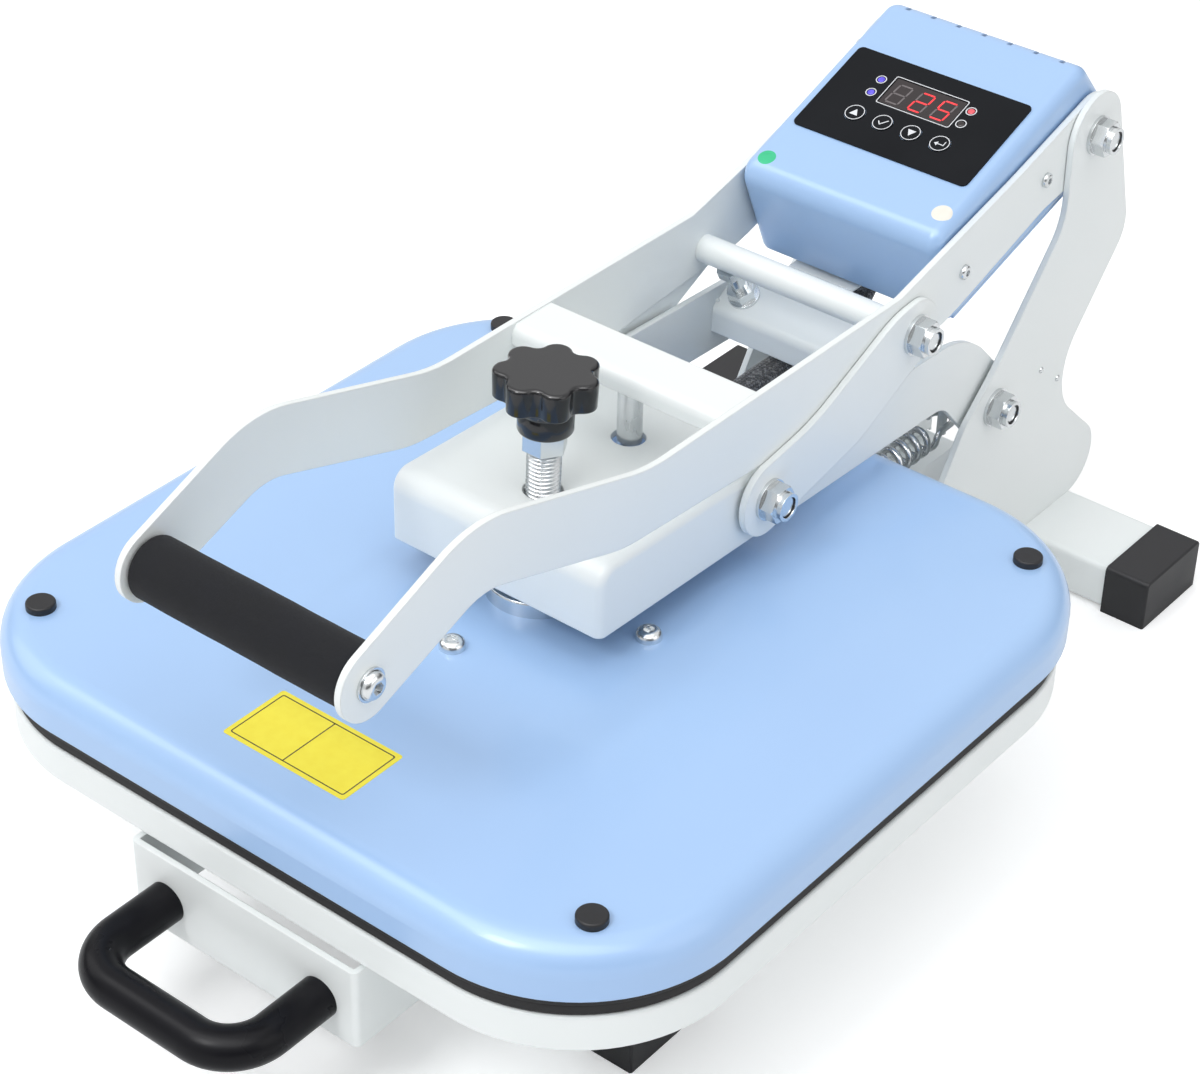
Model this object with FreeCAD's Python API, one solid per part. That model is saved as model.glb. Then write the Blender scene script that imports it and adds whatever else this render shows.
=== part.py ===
import FreeCAD, Part
import math
import os

# Flat heat press with an opening arm, a toggle handle and a drawer for the lower platen.
# Millimetres, +X to the right, front at -Y, +Z up. Sizes are written from the press axis (X and Y)
# and from the floor (Z). The whole press is then moved along Y so that its origin is the centre of
# its bounding box on the floor.

# Driving dimensions
SHEET = 3.2                      # steel sheet of arm, handle, links and uprights
TOUCH = 0.3                      # clearance between parts that move past each other
SEAT = 0.1                       # clearance between a hole and what sits in it
RUN = 0.05                       # radial running clearance of a shaft in its bore

# Pivots of the linkage, as (y, z)
PIVOT_A = (341.0, 245.0)         # handle on the uprights
PIVOT_B = (270.5, 122.5)         # arm on the uprights
PIVOT_C = (190.5, 201.2)         # links on the handle
PIVOT_D = (79.0, 167.3)          # links on the arm

# Half widths, from the middle outwards
HANDLE_IN = 58.2                 # inner face of the handle plates
HANDLE_GAP = 0.4                 # from a handle plate to the upright and the link beside it
ARM_GAP = 2.1                    # from the arm to the uprights
HANDLE_OUT = HANDLE_IN + SHEET
FRAME_IN = HANDLE_OUT + HANDLE_GAP                 # inner face of uprights and links
FRAME_OUT = FRAME_IN + SHEET
ARM_OUT = FRAME_IN - ARM_GAP
ARM_IN = ARM_OUT - SHEET

# Base
TUBE_WIDE = 50.0
TUBE_HIGH = 25.0
TUBE_WALL = 2.0
CAP_WALL = 1.5
CAP_LONG = 25.0
TUBE_LONG = 297.0                # cross tube without its caps
REAR_TUBE_Y = 336.2
REAR_TUBE_X = -7.0               # the tubes sit a little to the left of the middle
FRONT_TUBE_Y = -78.8
FRONT_TUBE_X = -11.5
TUBE_BOTTOM = CAP_WALL
TUBE_TOP = TUBE_BOTTOM + TUBE_HIGH
RAIL_WIDE = 25.0
RAIL_HIGH = 40.0
RAIL_WALL = 2.0
RAIL_X = 24.0                    # inner face of the right rail
RAIL_TOP = TUBE_TOP + RAIL_HIGH
WEB_Y = 203.0
WEB_TOP = 90.0
BULGE = (362.0, 181.5, 20.3)     # rear edge of the uprights, the rearmost point of the press

# Drawer
DRAWER_HALF = 65.0
DRAWER_SHEET = 3.0
DRAWER_FRONT = -194.5
DRAWER_BACK = 190.0
DRAWER_BOTTOM = 35.5
PLATEN_BOTTOM = 79.0
DRAWER_STEP = 2.5                # the tray's open front part stays this far below the platen
SLIDE_HIGH = 35.0
SLIDE_Z = 54.0
SLIDE_START = -100.0
SLIDE_LONG = 300.0
SLIDE_SHEET = 1.2
SLIDE_OUT_X = RAIL_X + RAIL_WIDE
SLIDE_IN_X = DRAWER_HALF - DRAWER_SHEET
BOW_ROD = 19.4
BOW_HALF = 44.5
BOW_Y = -245.0
BOW_Z = 53.0
BOW_BEND = 22.0
BOW_SCREW_DEEP = 16.0
DECK_START = -150.0
PLATEN_SCREWS = ((-36.0, -135.0), (36.0, -135.0), (-36.0, 170.0), (36.0, 170.0))

# Platens
LOWER_HALF = 190.0
LOWER_ROUND = 78.5
LOWER_HIGH = 18.2
PAD_HIGH = 6.5
PRESS_GAP = 0.2
HEATER_HALF = 190.0
HEATER_HIGH = 14.0
LOWER_TOP = PLATEN_BOTTOM + LOWER_HIGH
PAD_TOP = LOWER_TOP + PAD_HIGH
HEATER_LOW = PAD_TOP + PRESS_GAP
HEATER_TOP = HEATER_LOW + HEATER_HIGH
HEATER_ROD = 8.0
HEATER_UP = 7.0                  # middle of the heater tube above the platen's face
HEATER_REACH = 150.0
HEATER_PITCH = 50.0
HEATER_RUNS = 6
INSULATION = 8.0
COVER_HALF = 192.6
COVER_ROUND = 80.0
COVER_BOTTOM = 108.6
COVER_TOP = 133.5
COVER_SHEET = 1.5
COVER_UNDER = COVER_TOP - COVER_SHEET
COVER_FILLET = 14.0
PLUG_AT = 155.7
PLUG_HEAD = 13.5
PLUG_TALL = 3.5
PLUG_STEM = 6.0
PLUG_DEEP = 6.0
SPACER_WIDE = 10.0
SCREW_DEEP = 9.0                 # cover screws in the heating platen
SCREW_CIRCLE = 60.4
PIN_ROD = 11.7
GUIDE_TOP = 209.0
BOSS_WIDE = 49.0
BOSS_FLANGE = 8.0
BOSS_HUB = 30.0
BOSS_HIGH = 15.0
BOSS_FOOT = 16.0

# Arm
ARM_TILT = 2.5                   # degrees, rear end lower
TILT = math.radians(ARM_TILT)
ARM_FRONT = -33.5
ARM_TOP = 184.4                  # top face above the press axis
BOSS_Y = (COVER_TOP - ARM_TOP) * math.tan(TILT)    # where the screw's axis meets the cover
ARM_LOW_FRONT = 150.3
ARM_LOW_REAR = (230.0, 139.5)
ARM_DECK_END = 131.0
ARM_ROUND = 4.0
ARM_NOSE = 10.0
ARM_SHOULDER = (247.0, 173.6)
PIVOT_TUBE = 24.0
PIN_HOLE = 16.0
PIN_HOLE_Y = 59.8
STOP_X = -45.0
STOP_ANGLE = 30.0                # bolt axis from straight down, towards the rear
STOP_REACH = 34.0                # from the cross bar's axis to the stop plate
STOP_WAY = (math.sin(math.radians(STOP_ANGLE)), -math.cos(math.radians(STOP_ANGLE)))
STOP_BOLT = 8.0
STOP_FLATS = 13.0
STOP_NUT = 6.5
STOP_HEAD = 5.3
STOP_LONG = 18.0                 # from the bolt to the plate's upper edge
LIP_LOW = 152.0
LIP_FRONT = 197.0
PEG_X = 36.0
PEG_ROD = 5.0
PEG_LOW = 95.0
NUT_UNDER = 13.0                 # nut of the pressure screw, under the arm
NUT_UNDER_FLATS = 24.0

# Springs
SPRING_WIRE = 2.8
SPRING_WIDE = 15.5
SPRING_Z = 100.0
SPRING_START = 216.0
SPRING_TURNS = 5
SPRING_PITCH = 8.0
HOOK_BEND = 4.0
ANCHOR_Y = WEB_Y + SHEET + PEG_ROD / 2 - 0.8       # the spring's pin is welded to the web

# Pressure screw
SCREW_ROD = 15.6
SCREW_END = 137.0
COLLAR_WALL = 1.2                # least wall of the hex collar
COLLAR_FLATS = SCREW_ROD + 2 * COLLAR_WALL
COLLAR_LOW = 206.0
COLLAR_TOP = 215.3
KNOB_HUB = 25.0
KNOB_LOBES = 7
KNOB_WIDE = 47.5
KNOB_WAIST = 39.0
KNOB_LOW = 231.2
KNOB_TOP = 244.8
KNOB_LOBE = 7.0
KNOB_HOLLOW = 4.2
KNOB_GRIPS = 4.0                 # depth of the screw's end in the knob

# Handle
GRIP = (-176.0, 213.0)
GRIP_WIDE = 28.5
GRIP_CORE = 19.0
LOBE_GRIP = 16.5
LOBE_A = 20.0
BAR_ROD = 14.0
CROSS_FRONT = 47.3
CROSS_BACK = 74.7
CROSS_TOP = 222.6
CROSS_LIP = 213.0
GRIP_SCREW = 8.0
BOX_SCREWS = ((301.8, 235.1), (233.8, 214.1))
BOX_SCREW = 4.0

# Links
LINK_D = 18.2
LINK_C = 17.2

# Bolts
BOLT = 10.0
NUT_FLATS = 16.0
NUT_HIGH = 6.5
NUT_COLLAR = 3.0
WASHER_WIDE = 20.0
WASHER = 1.6
HEAD_HIGH = 6.4
NUT_REACH = WASHER + NUT_HIGH + NUT_COLLAR - 1.0   # the bolt ends just inside the nut's collar
M6 = 5.8                         # thread, threaded hole and through hole of a screw
M6_TAPPED = 6.0
M6_FREE = 6.4

# Control box
BOX_ROOM = 1.2                   # from the box to the handle plates
BOX_HALF = HANDLE_IN - BOX_ROOM
BOX_SHEET = 1.5
BOX_SLOPE = 19.6
SLOPE = math.radians(BOX_SLOPE)
BOX_FRONT_LOW = (235.0, 183.0)
BOX_REAR_LOW = (334.0, 212.3)
BOX_REAR_MID = (359.0, 256.5)
PANEL_START = (246.5, 249.2)     # front edge of the panel on the sloping top
BOX_NOSE = -37.2                 # front and rear end of the top, along its slope from PANEL_START
BOX_TAIL = 96.0
PANEL_LONG = 59.6
PANEL_HALF = 50.0
PANEL_HIGH = 0.8
BUTTON_X = (-25.6, -9.5, 6.8, 23.4)
BUTTON_S = 18.9
BUTTON_WIDE = 10.4
BUTTON_TRAVEL = 0.5
LAMPS = ((-27.0, 43.8), (-26.7, 34.3), (24.9, 44.0), (25.1, 34.7))
LAMP_WIDE = 3.6
DISPLAY_HALF = 20.2
DISPLAY_S = (30.4, 48.4)
VENTS = 7
VENT_PITCH = 14.87
VENT_WIDE = 2.4
BOX_FILLET = 6.0
BOARD_LIFT = -9.0
BOARD_THICK = 1.6
BOARD_HALF = 46.0
BOARD_TRIM = 5.0
INLET_X = -24.0
INLET_HALF = (24.0, 13.7)
MOUTH_HALF = (12.0, 8.0)
ROCKER_X = 26.0
ROCKER_HALF = (10.5, 7.0)
ROCKER_PIVOT = -1.0              # depth of its pivot, outwards being positive
ROCKER_PIN = 1.6

# Heater lead
LEAD = 13.0
LEAD_START = (-20.0, 150.0, 142.0)
LEAD_VIA = ((-20.0, 184.0, 144.0), (-20.0, 222.0, 142.3), (-21.0, 258.8, 142.8), (-22.0, 275.1, 148.7),
            (-23.0, 286.9, 161.4))
GLAND = (-24.0, 285.0)           # on the underside of the box
LEAD_DROP = 20.3                 # last bend of the lead, below the box
LEAD_IN_BOOT = 8.0
BOOT_WIDE = 17.0
BOOT_NECK = 15.0
BOOT_COLLAR = 20.0
GLAND_FLATS = 20.0
GLAND_MOUTH = 6.0
GLAND_NECK = 14.0
GLAND_LONG = 9.0

HUB = "hub"


def vec(x, y, z):
    return FreeCAD.Vector(x, y, z)


# Outlines
# A corner is (a, b, radius) and a hub is (a, b, radius, HUB), all listed anticlockwise. The outline runs
# round a hub's circle, on its outside for a positive radius and hollow for a negative one, and
# rounds a corner with its radius.
def outline(items, place):
    count = len(items)
    radii = [item[2] if len(item) > 3 else 0.0 for item in items]
    lines = []
    for i in range(count):
        a, b = items[i], items[(i + 1) % count]
        ra, rb = radii[i], radii[(i + 1) % count]
        dy, dz = b[0] - a[0], b[1] - a[1]
        turn = math.atan2(dz, dy) - math.asin((rb - ra) / math.hypot(dy, dz))
        left = (-math.sin(turn), math.cos(turn))
        start = (a[0] - left[0] * ra, a[1] - left[1] * ra)
        end = (b[0] - left[0] * rb, b[1] - left[1] * rb)
        lines.append([start, end, turn])
    arcs = []
    for i in range(count):
        before, after = lines[i - 1], lines[i]
        item = items[i]
        swing = (after[2] - before[2] + math.pi) % (2 * math.pi) - math.pi
        if len(item) > 3:
            if item[2] > 0 and swing < 0:
                swing += 2 * math.pi
            radius, centre = item[2], (item[0], item[1])
        elif item[2] > 0:
            back = item[2] * math.tan(abs(swing) / 2)
            before[1] = (item[0] - back * math.cos(before[2]), item[1] - back * math.sin(before[2]))
            after[0] = (item[0] + back * math.cos(after[2]), item[1] + back * math.sin(after[2]))
            radius = math.copysign(item[2], swing)
            centre = (before[1][0] - radius * math.sin(before[2]),
                      before[1][1] + radius * math.cos(before[2]))
        else:
            arcs.append(None)
            continue
        middle = before[2] + swing / 2
        arcs.append((centre[0] + radius * math.sin(middle), centre[1] - radius * math.cos(middle)))
    edges = []
    for i in range(count):
        if arcs[i]:
            first, mid, last = place(*lines[i - 1][1]), place(*arcs[i]), place(*lines[i][0])
            edges.append(Part.Arc(first, mid, last).toShape())
        start, end = place(*lines[i][0]), place(*lines[i][1])
        if start.distanceToPoint(end) > 1e-4:
            edges.append(Part.LineSegment(start, end).toShape())
    return Part.Wire(edges)


def side_face(items, x):
    return Part.Face(outline(items, lambda y, z: vec(x, y, z)))


def side_plate(items, x, thick):
    return side_face(items, x).extrude(vec(thick, 0, 0))


def flat_plate(items, z, thick):
    return Part.Face(outline(items, lambda x, y: vec(x, y, z))).extrude(vec(0, 0, thick))


def front_plate(items, y, thick):
    face = Part.Face(outline(items, lambda x, z: vec(x, y, z)))
    return face.extrude(vec(0, thick, 0))


# Simple solids
def block(x0, x1, y0, y1, z0, z1):
    return Part.makeBox(x1 - x0, y1 - y0, z1 - z0, vec(x0, y0, z0))


def rod(start, end, wide):
    return Part.makeCylinder(wide / 2, (end - start).Length, start, end - start)


def pipe(start, end, wide, bore):
    return rod(start, end, wide).cut(rod(start, end, bore))


def cross_rod(x0, x1, at, wide):
    return rod(vec(x0, at[0], at[1]), vec(x1, at[0], at[1]), wide)


def hexagon(start, end, flats):
    axis = (end - start).normalize()
    side = axis.cross(vec(0, 0, 1) if abs(axis.z) < 0.9 else vec(0, 1, 0)).normalize()
    up = axis.cross(side)
    radius = flats / math.sqrt(3)
    points = []
    for i in range(7):
        turn = math.radians(60 * i)
        points.append(start + side * (radius * math.cos(turn)) + up * (radius * math.sin(turn)))
    return Part.Face(Part.makePolygon(points)).extrude(axis * (end - start).Length)


def rounded_square(half, radius, z0, z1):
    corners = [(-half, -half, radius), (half, -half, radius), (half, half, radius), (-half, half, radius)]
    return flat_plate(corners, z0, z1 - z0)


def edges_where(shape, test):
    return [edge for edge in shape.Edges if test(edge.BoundBox)]


def fuse(shapes):
    joined = shapes[0].fuse(shapes[1:]) if len(shapes) > 1 else shapes[0]
    return joined.removeSplitter()


def group(shapes):
    return Part.makeCompound(shapes)


def mirror_x(shape):
    return shape.mirror(vec(0, 0, 0), vec(1, 0, 0))


def both_sides(shape):
    return [shape, mirror_x(shape)]


# Fasteners
# A lock nut with its washer, seated at x on the right side and facing outwards.
def lock_nut(x, at, flats=NUT_FLATS):
    y, z = at
    washer = pipe(vec(x, y, z), vec(x + WASHER, y, z), WASHER_WIDE, BOLT + 2 * SEAT)
    seat = x + WASHER
    nut = hexagon(vec(seat, y, z), vec(seat + NUT_HIGH, y, z), flats)
    wide, narrow = flats / 2 + NUT_HIGH + 0.6, flats / 2 + 0.6
    bevel = Part.makeCone(wide, narrow, NUT_HIGH, vec(seat, y, z), vec(1, 0, 0))
    collar = cross_rod(seat + NUT_HIGH, seat + NUT_HIGH + NUT_COLLAR, at, flats - 2.5)
    body = fuse([nut.common(bevel), collar])
    body = body.cut(cross_rod(seat - 1, seat + NUT_HIGH + NUT_COLLAR + 1, at, BOLT + 2 * SEAT))
    return [washer, body]


def domed_screw(seat, axis, head, tall, shank, length):
    axis = vec(*axis).normalize()
    cap = Part.makeCylinder(head / 2, tall, seat, axis)
    rim = edges_where(cap, lambda box: box.DiagonalLength > head * 0.9)
    top = [edge for edge in rim if (edge.CenterOfMass - seat).dot(axis) > tall / 2]
    cap = cap.makeFillet(tall * 0.7, top)
    socket = hexagon(seat + axis * (tall * 0.45), seat + axis * (tall + 1), head * 0.4)
    stem = Part.makeCylinder(shank / 2, length, seat - axis * length, axis)
    return fuse([cap.cut(socket), stem])


def pan_screw(seat, axis, head, tall, shank, length):
    axis = vec(*axis).normalize()
    cap = Part.makeCylinder(head / 2, tall, seat, axis)
    return fuse([cap, Part.makeCylinder(shank / 2, length, seat - axis * length, axis)])


# Base
def cross_tube(x, y):
    low, high = TUBE_BOTTOM, TUBE_TOP
    outer = block(x - TUBE_LONG / 2, x + TUBE_LONG / 2, y - TUBE_WIDE / 2, y + TUBE_WIDE / 2, low, high)
    outer = outer.makeFillet(3.0, edges_where(outer, lambda box: box.XLength > 100))
    wall = TUBE_WALL
    inner = block(x - TUBE_LONG, x + TUBE_LONG, y - TUBE_WIDE / 2 + wall, y + TUBE_WIDE / 2 - wall,
                  low + wall, high - wall)
    inner = inner.makeFillet(1.0, edges_where(inner, lambda box: box.XLength > 100))
    return outer.cut(inner)


def foot_cap(x, y, side):
    end = x + side * (TUBE_LONG / 2 + CAP_WALL)
    start = end - side * CAP_LONG
    half = TUBE_WIDE / 2 + CAP_WALL
    cap = block(min(start, end), max(start, end), y - half, y + half, 0, TUBE_TOP + CAP_WALL)
    cap = cap.makeFillet(2.5, edges_where(cap, lambda box: box.XLength > 10 and box.ZMin > 1))
    outside = edges_where(cap, lambda box: box.XLength < 0.1 and abs(box.XMin - end) < 0.1)
    cap = cap.makeFillet(1.2, [edge for edge in outside if edge.BoundBox.ZMin > 0.5])
    hollow = block(x - TUBE_LONG / 2, x + TUBE_LONG / 2, y - TUBE_WIDE / 2, y + TUBE_WIDE / 2,
                   TUBE_BOTTOM, TUBE_TOP)
    return cap.cut(hollow.makeFillet(3.0, edges_where(hollow, lambda box: box.XLength > 100)))


def base_rail():
    x0, x1 = RAIL_X, RAIL_X + RAIL_WIDE
    y0, y1 = FRONT_TUBE_Y - TUBE_WIDE / 2, REAR_TUBE_Y + TUBE_WIDE / 2
    z0, z1 = TUBE_TOP, RAIL_TOP
    outer = block(x0, x1, y0, y1, z0, z1)
    outer = outer.makeFillet(3.0, edges_where(outer, lambda box: box.YLength > 100))
    wall = RAIL_WALL
    return outer.cut(block(x0 + wall, x1 - wall, y0 - 1, y1 + 1, z0 + wall, z1 - wall))


def spring_web():
    web = block(-FRAME_IN, FRAME_IN, WEB_Y, WEB_Y + SHEET, RAIL_TOP, WEB_TOP)
    upper = edges_where(web, lambda box: box.XLength > 100 and box.ZMin > WEB_TOP - 1)
    web = web.makeFillet(SHEET * 0.4, upper)
    pin = rod(vec(PEG_X, ANCHOR_Y, RAIL_TOP + 8), vec(PEG_X, ANCHOR_Y, SPRING_Z + 6), PEG_ROD)
    return fuse([web] + both_sides(pin))


def upright():
    shape = side_plate([
        (206.0, TUBE_TOP, 3.0),
        (357.0, TUBE_TOP + 20.8, 20.8, HUB),
        (370.8, 109.5, -34.0, HUB),
        (*BULGE, HUB),
        (PIVOT_A[0], PIVOT_A[1], 22.0, HUB),
        (289.5, 215.5, -30.5, HUB),
        (267.0, 143.5, 60.0),
        (244.0, 122.5, 25.0),
        (207.0, 62.0, 12.0),
    ], FRAME_IN, SHEET)
    for at in (PIVOT_A, PIVOT_B):
        shape = shape.cut(cross_rod(FRAME_IN - 1, FRAME_OUT + 1, at, BOLT + 2 * SEAT))
    return shape


# Ball slides: the outer member is screwed to the rail and the inner one to the drawer.
def slide_member(x_web, x_lip, half_high):
    step = SLIDE_SHEET if x_lip > x_web else -SLIDE_SHEET
    items = [(x_web, SLIDE_Z - half_high), (x_lip, SLIDE_Z - half_high),
             (x_lip, SLIDE_Z - half_high + SLIDE_SHEET), (x_web + step, SLIDE_Z - half_high + SLIDE_SHEET),
             (x_web + step, SLIDE_Z + half_high - SLIDE_SHEET), (x_lip, SLIDE_Z + half_high - SLIDE_SHEET),
             (x_lip, SLIDE_Z + half_high), (x_web, SLIDE_Z + half_high)]
    points = [vec(x, SLIDE_START, z) for x, z in items]
    face = Part.Face(Part.makePolygon(points + points[:1]))
    return face.extrude(vec(0, SLIDE_LONG, 0))


# Drawer
def drawer_tray():
    inner = DRAWER_HALF - DRAWER_SHEET
    tray = block(-DRAWER_HALF, DRAWER_HALF, DRAWER_FRONT, DRAWER_BACK, DRAWER_BOTTOM, PLATEN_BOTTOM)
    corners = edges_where(tray, lambda box: box.ZLength > 30 and box.YMax < DRAWER_FRONT + 0.1)
    tray = tray.makeFillet(DRAWER_SHEET, corners)
    tray = tray.cut(block(-inner, inner, DRAWER_FRONT + DRAWER_SHEET, DRAWER_BACK + 1,
                          DRAWER_BOTTOM - 1, PLATEN_BOTTOM + 1))
    deck = block(-inner, inner, DECK_START, DRAWER_BACK, PLATEN_BOTTOM - DRAWER_SHEET, PLATEN_BOTTOM)
    tray = fuse([tray, deck])
    tray = tray.cut(block(-DRAWER_HALF - 1, DRAWER_HALF + 1, DRAWER_FRONT - 1, DECK_START,
                          PLATEN_BOTTOM - DRAWER_STEP, PLATEN_BOTTOM + 1))
    for x, y in PLATEN_SCREWS:
        tray = tray.cut(rod(vec(x, y, PLATEN_BOTTOM - 10), vec(x, y, PLATEN_BOTTOM + 1), M6_FREE))
    for x in (-BOW_HALF, BOW_HALF):
        tray = tray.cut(rod(vec(x, DRAWER_FRONT - 1, BOW_Z), vec(x, DRAWER_FRONT + 10, BOW_Z), M6_FREE))
    return tray


def bow_handle():
    far = BOW_Y + BOW_BEND
    bend = BOW_BEND * (1 - math.sqrt(0.5))
    half = BOW_HALF
    edges = [
        Part.LineSegment(vec(-half, DRAWER_FRONT, BOW_Z), vec(-half, far, BOW_Z)).toShape(),
        Part.Arc(vec(-half, far, BOW_Z), vec(-half + bend, BOW_Y + bend, BOW_Z),
                 vec(-half + BOW_BEND, BOW_Y, BOW_Z)).toShape(),
        Part.LineSegment(vec(-half + BOW_BEND, BOW_Y, BOW_Z), vec(half - BOW_BEND, BOW_Y, BOW_Z)).toShape(),
        Part.Arc(vec(half - BOW_BEND, BOW_Y, BOW_Z), vec(half - bend, BOW_Y + bend, BOW_Z),
                 vec(half, far, BOW_Z)).toShape(),
        Part.LineSegment(vec(half, far, BOW_Z), vec(half, DRAWER_FRONT, BOW_Z)).toShape(),
    ]
    bow = swept(edges, BOW_ROD)
    for x in (-half, half):
        start, end = vec(x, DRAWER_FRONT - BOW_SCREW_DEEP, BOW_Z), vec(x, DRAWER_FRONT + 1, BOW_Z)
        bow = bow.cut(rod(start, end, M6_TAPPED))
    return bow


# A round bar along a chain of tangent lines and arcs.
def swept(edges, wide):
    spine = Part.Wire(edges)
    first = edges[0]
    start = first.valueAt(first.FirstParameter)
    along = first.tangentAt(first.FirstParameter)
    section = Part.Wire([Part.makeCircle(wide / 2, start, along)])
    shell = Part.BRepOffsetAPI.MakePipeShell(spine)
    shell.add(section)
    shell.build()
    shell.makeSolid()
    return shell.shape()


def drawer_screws():
    screws = []
    behind = DRAWER_FRONT + DRAWER_SHEET
    for x in (-BOW_HALF, BOW_HALF):
        screws.append(pan_screw(vec(x, behind, BOW_Z), (0, 1, 0), 11.0, 3.5, M6,
                                 DRAWER_SHEET + BOW_SCREW_DEEP - 2))
    below = PLATEN_BOTTOM - DRAWER_SHEET
    for x, y in PLATEN_SCREWS:
        screws.append(pan_screw(vec(x, y, below), (0, 0, -1), 11.0, 3.0, M6, DRAWER_SHEET + 10))
    return group(screws)


def lower_platen():
    slab = rounded_square(LOWER_HALF, LOWER_ROUND, PLATEN_BOTTOM, LOWER_TOP)
    slab = slab.makeFillet(1.5, edges_where(slab, lambda box: box.ZLength < 0.1))
    for x, y in PLATEN_SCREWS:
        slab = slab.cut(rod(vec(x, y, PLATEN_BOTTOM - 1), vec(x, y, PLATEN_BOTTOM + 11), M6_TAPPED))
    return slab


# Upper platen
def heater_path():
    z = HEATER_LOW + HEATER_UP
    bend = HEATER_PITCH / 2
    edges = []
    y0, y1 = HEATER_REACH, -HEATER_REACH
    for i in range(HEATER_RUNS):
        x = HEATER_PITCH * (i - (HEATER_RUNS - 1) / 2)
        edges.append(Part.LineSegment(vec(x, y0, z), vec(x, y1, z)).toShape())
        if i < HEATER_RUNS - 1:
            tip = y1 + math.copysign(bend, y1)
            edges.append(Part.Arc(vec(x, y1, z), vec(x + bend, tip, z), vec(x + 2 * bend, y1, z)).toShape())
        y0, y1 = y1, y0
    return edges


def heating_platen():
    slab = rounded_square(HEATER_HALF, LOWER_ROUND, HEATER_LOW, HEATER_TOP)
    slab = slab.cut(swept(heater_path(), HEATER_ROD))
    for x, y in spacer_places():
        slab = slab.cut(rod(vec(x, y, HEATER_TOP - SCREW_DEEP - 1), vec(x, y, HEATER_TOP + 1), M6_TAPPED))
    return slab


def screw_places():
    return [(0.0, -SCREW_CIRCLE), (SCREW_CIRCLE, 0.0), (-SCREW_CIRCLE, 0.0)]


def plug_places():
    return [(x, y) for x in (-PLUG_AT, PLUG_AT) for y in (-PLUG_AT, PLUG_AT)]


def spacer_places():
    return screw_places() + plug_places()


def cover_spacers():
    spacers = []
    for x, y in spacer_places():
        spacers.append(pipe(vec(x, y, HEATER_TOP), vec(x, y, COVER_UNDER), SPACER_WIDE,
                            PLUG_STEM + 2 * SEAT))
    return group(spacers)


def insulation_board():
    board = rounded_square(HEATER_HALF - 12, LOWER_ROUND - 12, HEATER_TOP, HEATER_TOP + INSULATION)
    holes = [(x, y, SPACER_WIDE + 1) for x, y in spacer_places()]
    holes += [(0.0, BOSS_Y, BOSS_FOOT + 1), (0.0, SCREW_CIRCLE, PIN_ROD + 1)]
    for x, y, wide in holes:
        board = board.cut(rod(vec(x, y, HEATER_TOP - 1), vec(x, y, HEATER_TOP + INSULATION + 1), wide))
    return board


def platen_cover():
    outer = rounded_square(COVER_HALF, COVER_ROUND, COVER_BOTTOM, COVER_TOP)
    outer = outer.makeFillet(COVER_FILLET, edges_where(outer, lambda box: box.ZMin > COVER_TOP - 0.1))
    inner = rounded_square(COVER_HALF - COVER_SHEET, COVER_ROUND - COVER_SHEET, COVER_BOTTOM - 5, COVER_UNDER)
    round_in = COVER_FILLET - COVER_SHEET
    inner = inner.makeFillet(round_in, edges_where(inner, lambda box: box.ZMin > COVER_UNDER - 0.1))
    cover = outer.cut(inner)
    low, high = COVER_TOP - 10, COVER_TOP + 5
    holes = [(x, y, PLUG_STEM + 2 * SEAT) for x, y in plug_places()]
    holes += [(x, y, M6_FREE) for x, y in screw_places()]
    holes += [(0.0, SCREW_CIRCLE, PIN_ROD + 2 * SEAT), (0.0, BOSS_Y, BOSS_FOOT + 2 * SEAT)]
    holes += [(LEAD_START[0], LEAD_START[1], BOOT_NECK + 2 * SEAT)]
    for x, y, wide in holes:
        cover = cover.cut(rod(vec(x, y, low), vec(x, y, high), wide))
    return cover


def cover_plugs():
    plugs = []
    for x, y in plug_places():
        head = Part.makeCylinder(PLUG_HEAD / 2, PLUG_TALL, vec(x, y, COVER_TOP))
        rim = edges_where(head, lambda box: box.ZMin > COVER_TOP + 1 and box.ZLength < 0.1)
        head = head.makeFillet(1.0, rim)
        plugs.append(fuse([head, rod(vec(x, y, COVER_TOP - PLUG_DEEP), vec(x, y, COVER_TOP), PLUG_STEM)]))
    return group(plugs)


def cover_screws():
    screws = []
    for x, y in screw_places():
        length = COVER_TOP - HEATER_TOP + SCREW_DEEP
        screws.append(domed_screw(vec(x, y, COVER_TOP), (0, 0, 1), 12.0, 4.5, M6, length))
    return group(screws)


def on_screw(z):
    # The screw stands square to the arm and crosses its top face at the press axis.
    rise = z - ARM_TOP
    return vec(0, rise * math.tan(TILT), z)


def screw_boss():
    base = vec(0, BOSS_Y, COVER_TOP)
    flange = Part.makeCylinder(BOSS_WIDE / 2, BOSS_FLANGE, base)
    rim = edges_where(flange, lambda box: box.ZMin > COVER_TOP + 1 and box.ZLength < 0.1)
    flange = flange.makeFillet(1.5, rim)
    hub = Part.makeCylinder(BOSS_HUB / 2, BOSS_HIGH - 1.5, base)
    foot = Part.makeCylinder(BOSS_FOOT / 2, COVER_TOP - HEATER_TOP, vec(0, BOSS_Y, HEATER_TOP))
    socket = rod(on_screw(SCREW_END - RUN), on_screw(COVER_TOP + 40), SCREW_ROD + 2 * RUN)
    return fuse([flange, hub, foot]).cut(socket)


def guide_pin():
    bottom = vec(0, SCREW_CIRCLE, HEATER_TOP)
    pin = rod(bottom, vec(0, SCREW_CIRCLE, GUIDE_TOP), PIN_ROD)
    return pin.makeChamfer(1.0, edges_where(pin, lambda box: box.ZMin > GUIDE_TOP - 0.1))

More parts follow.
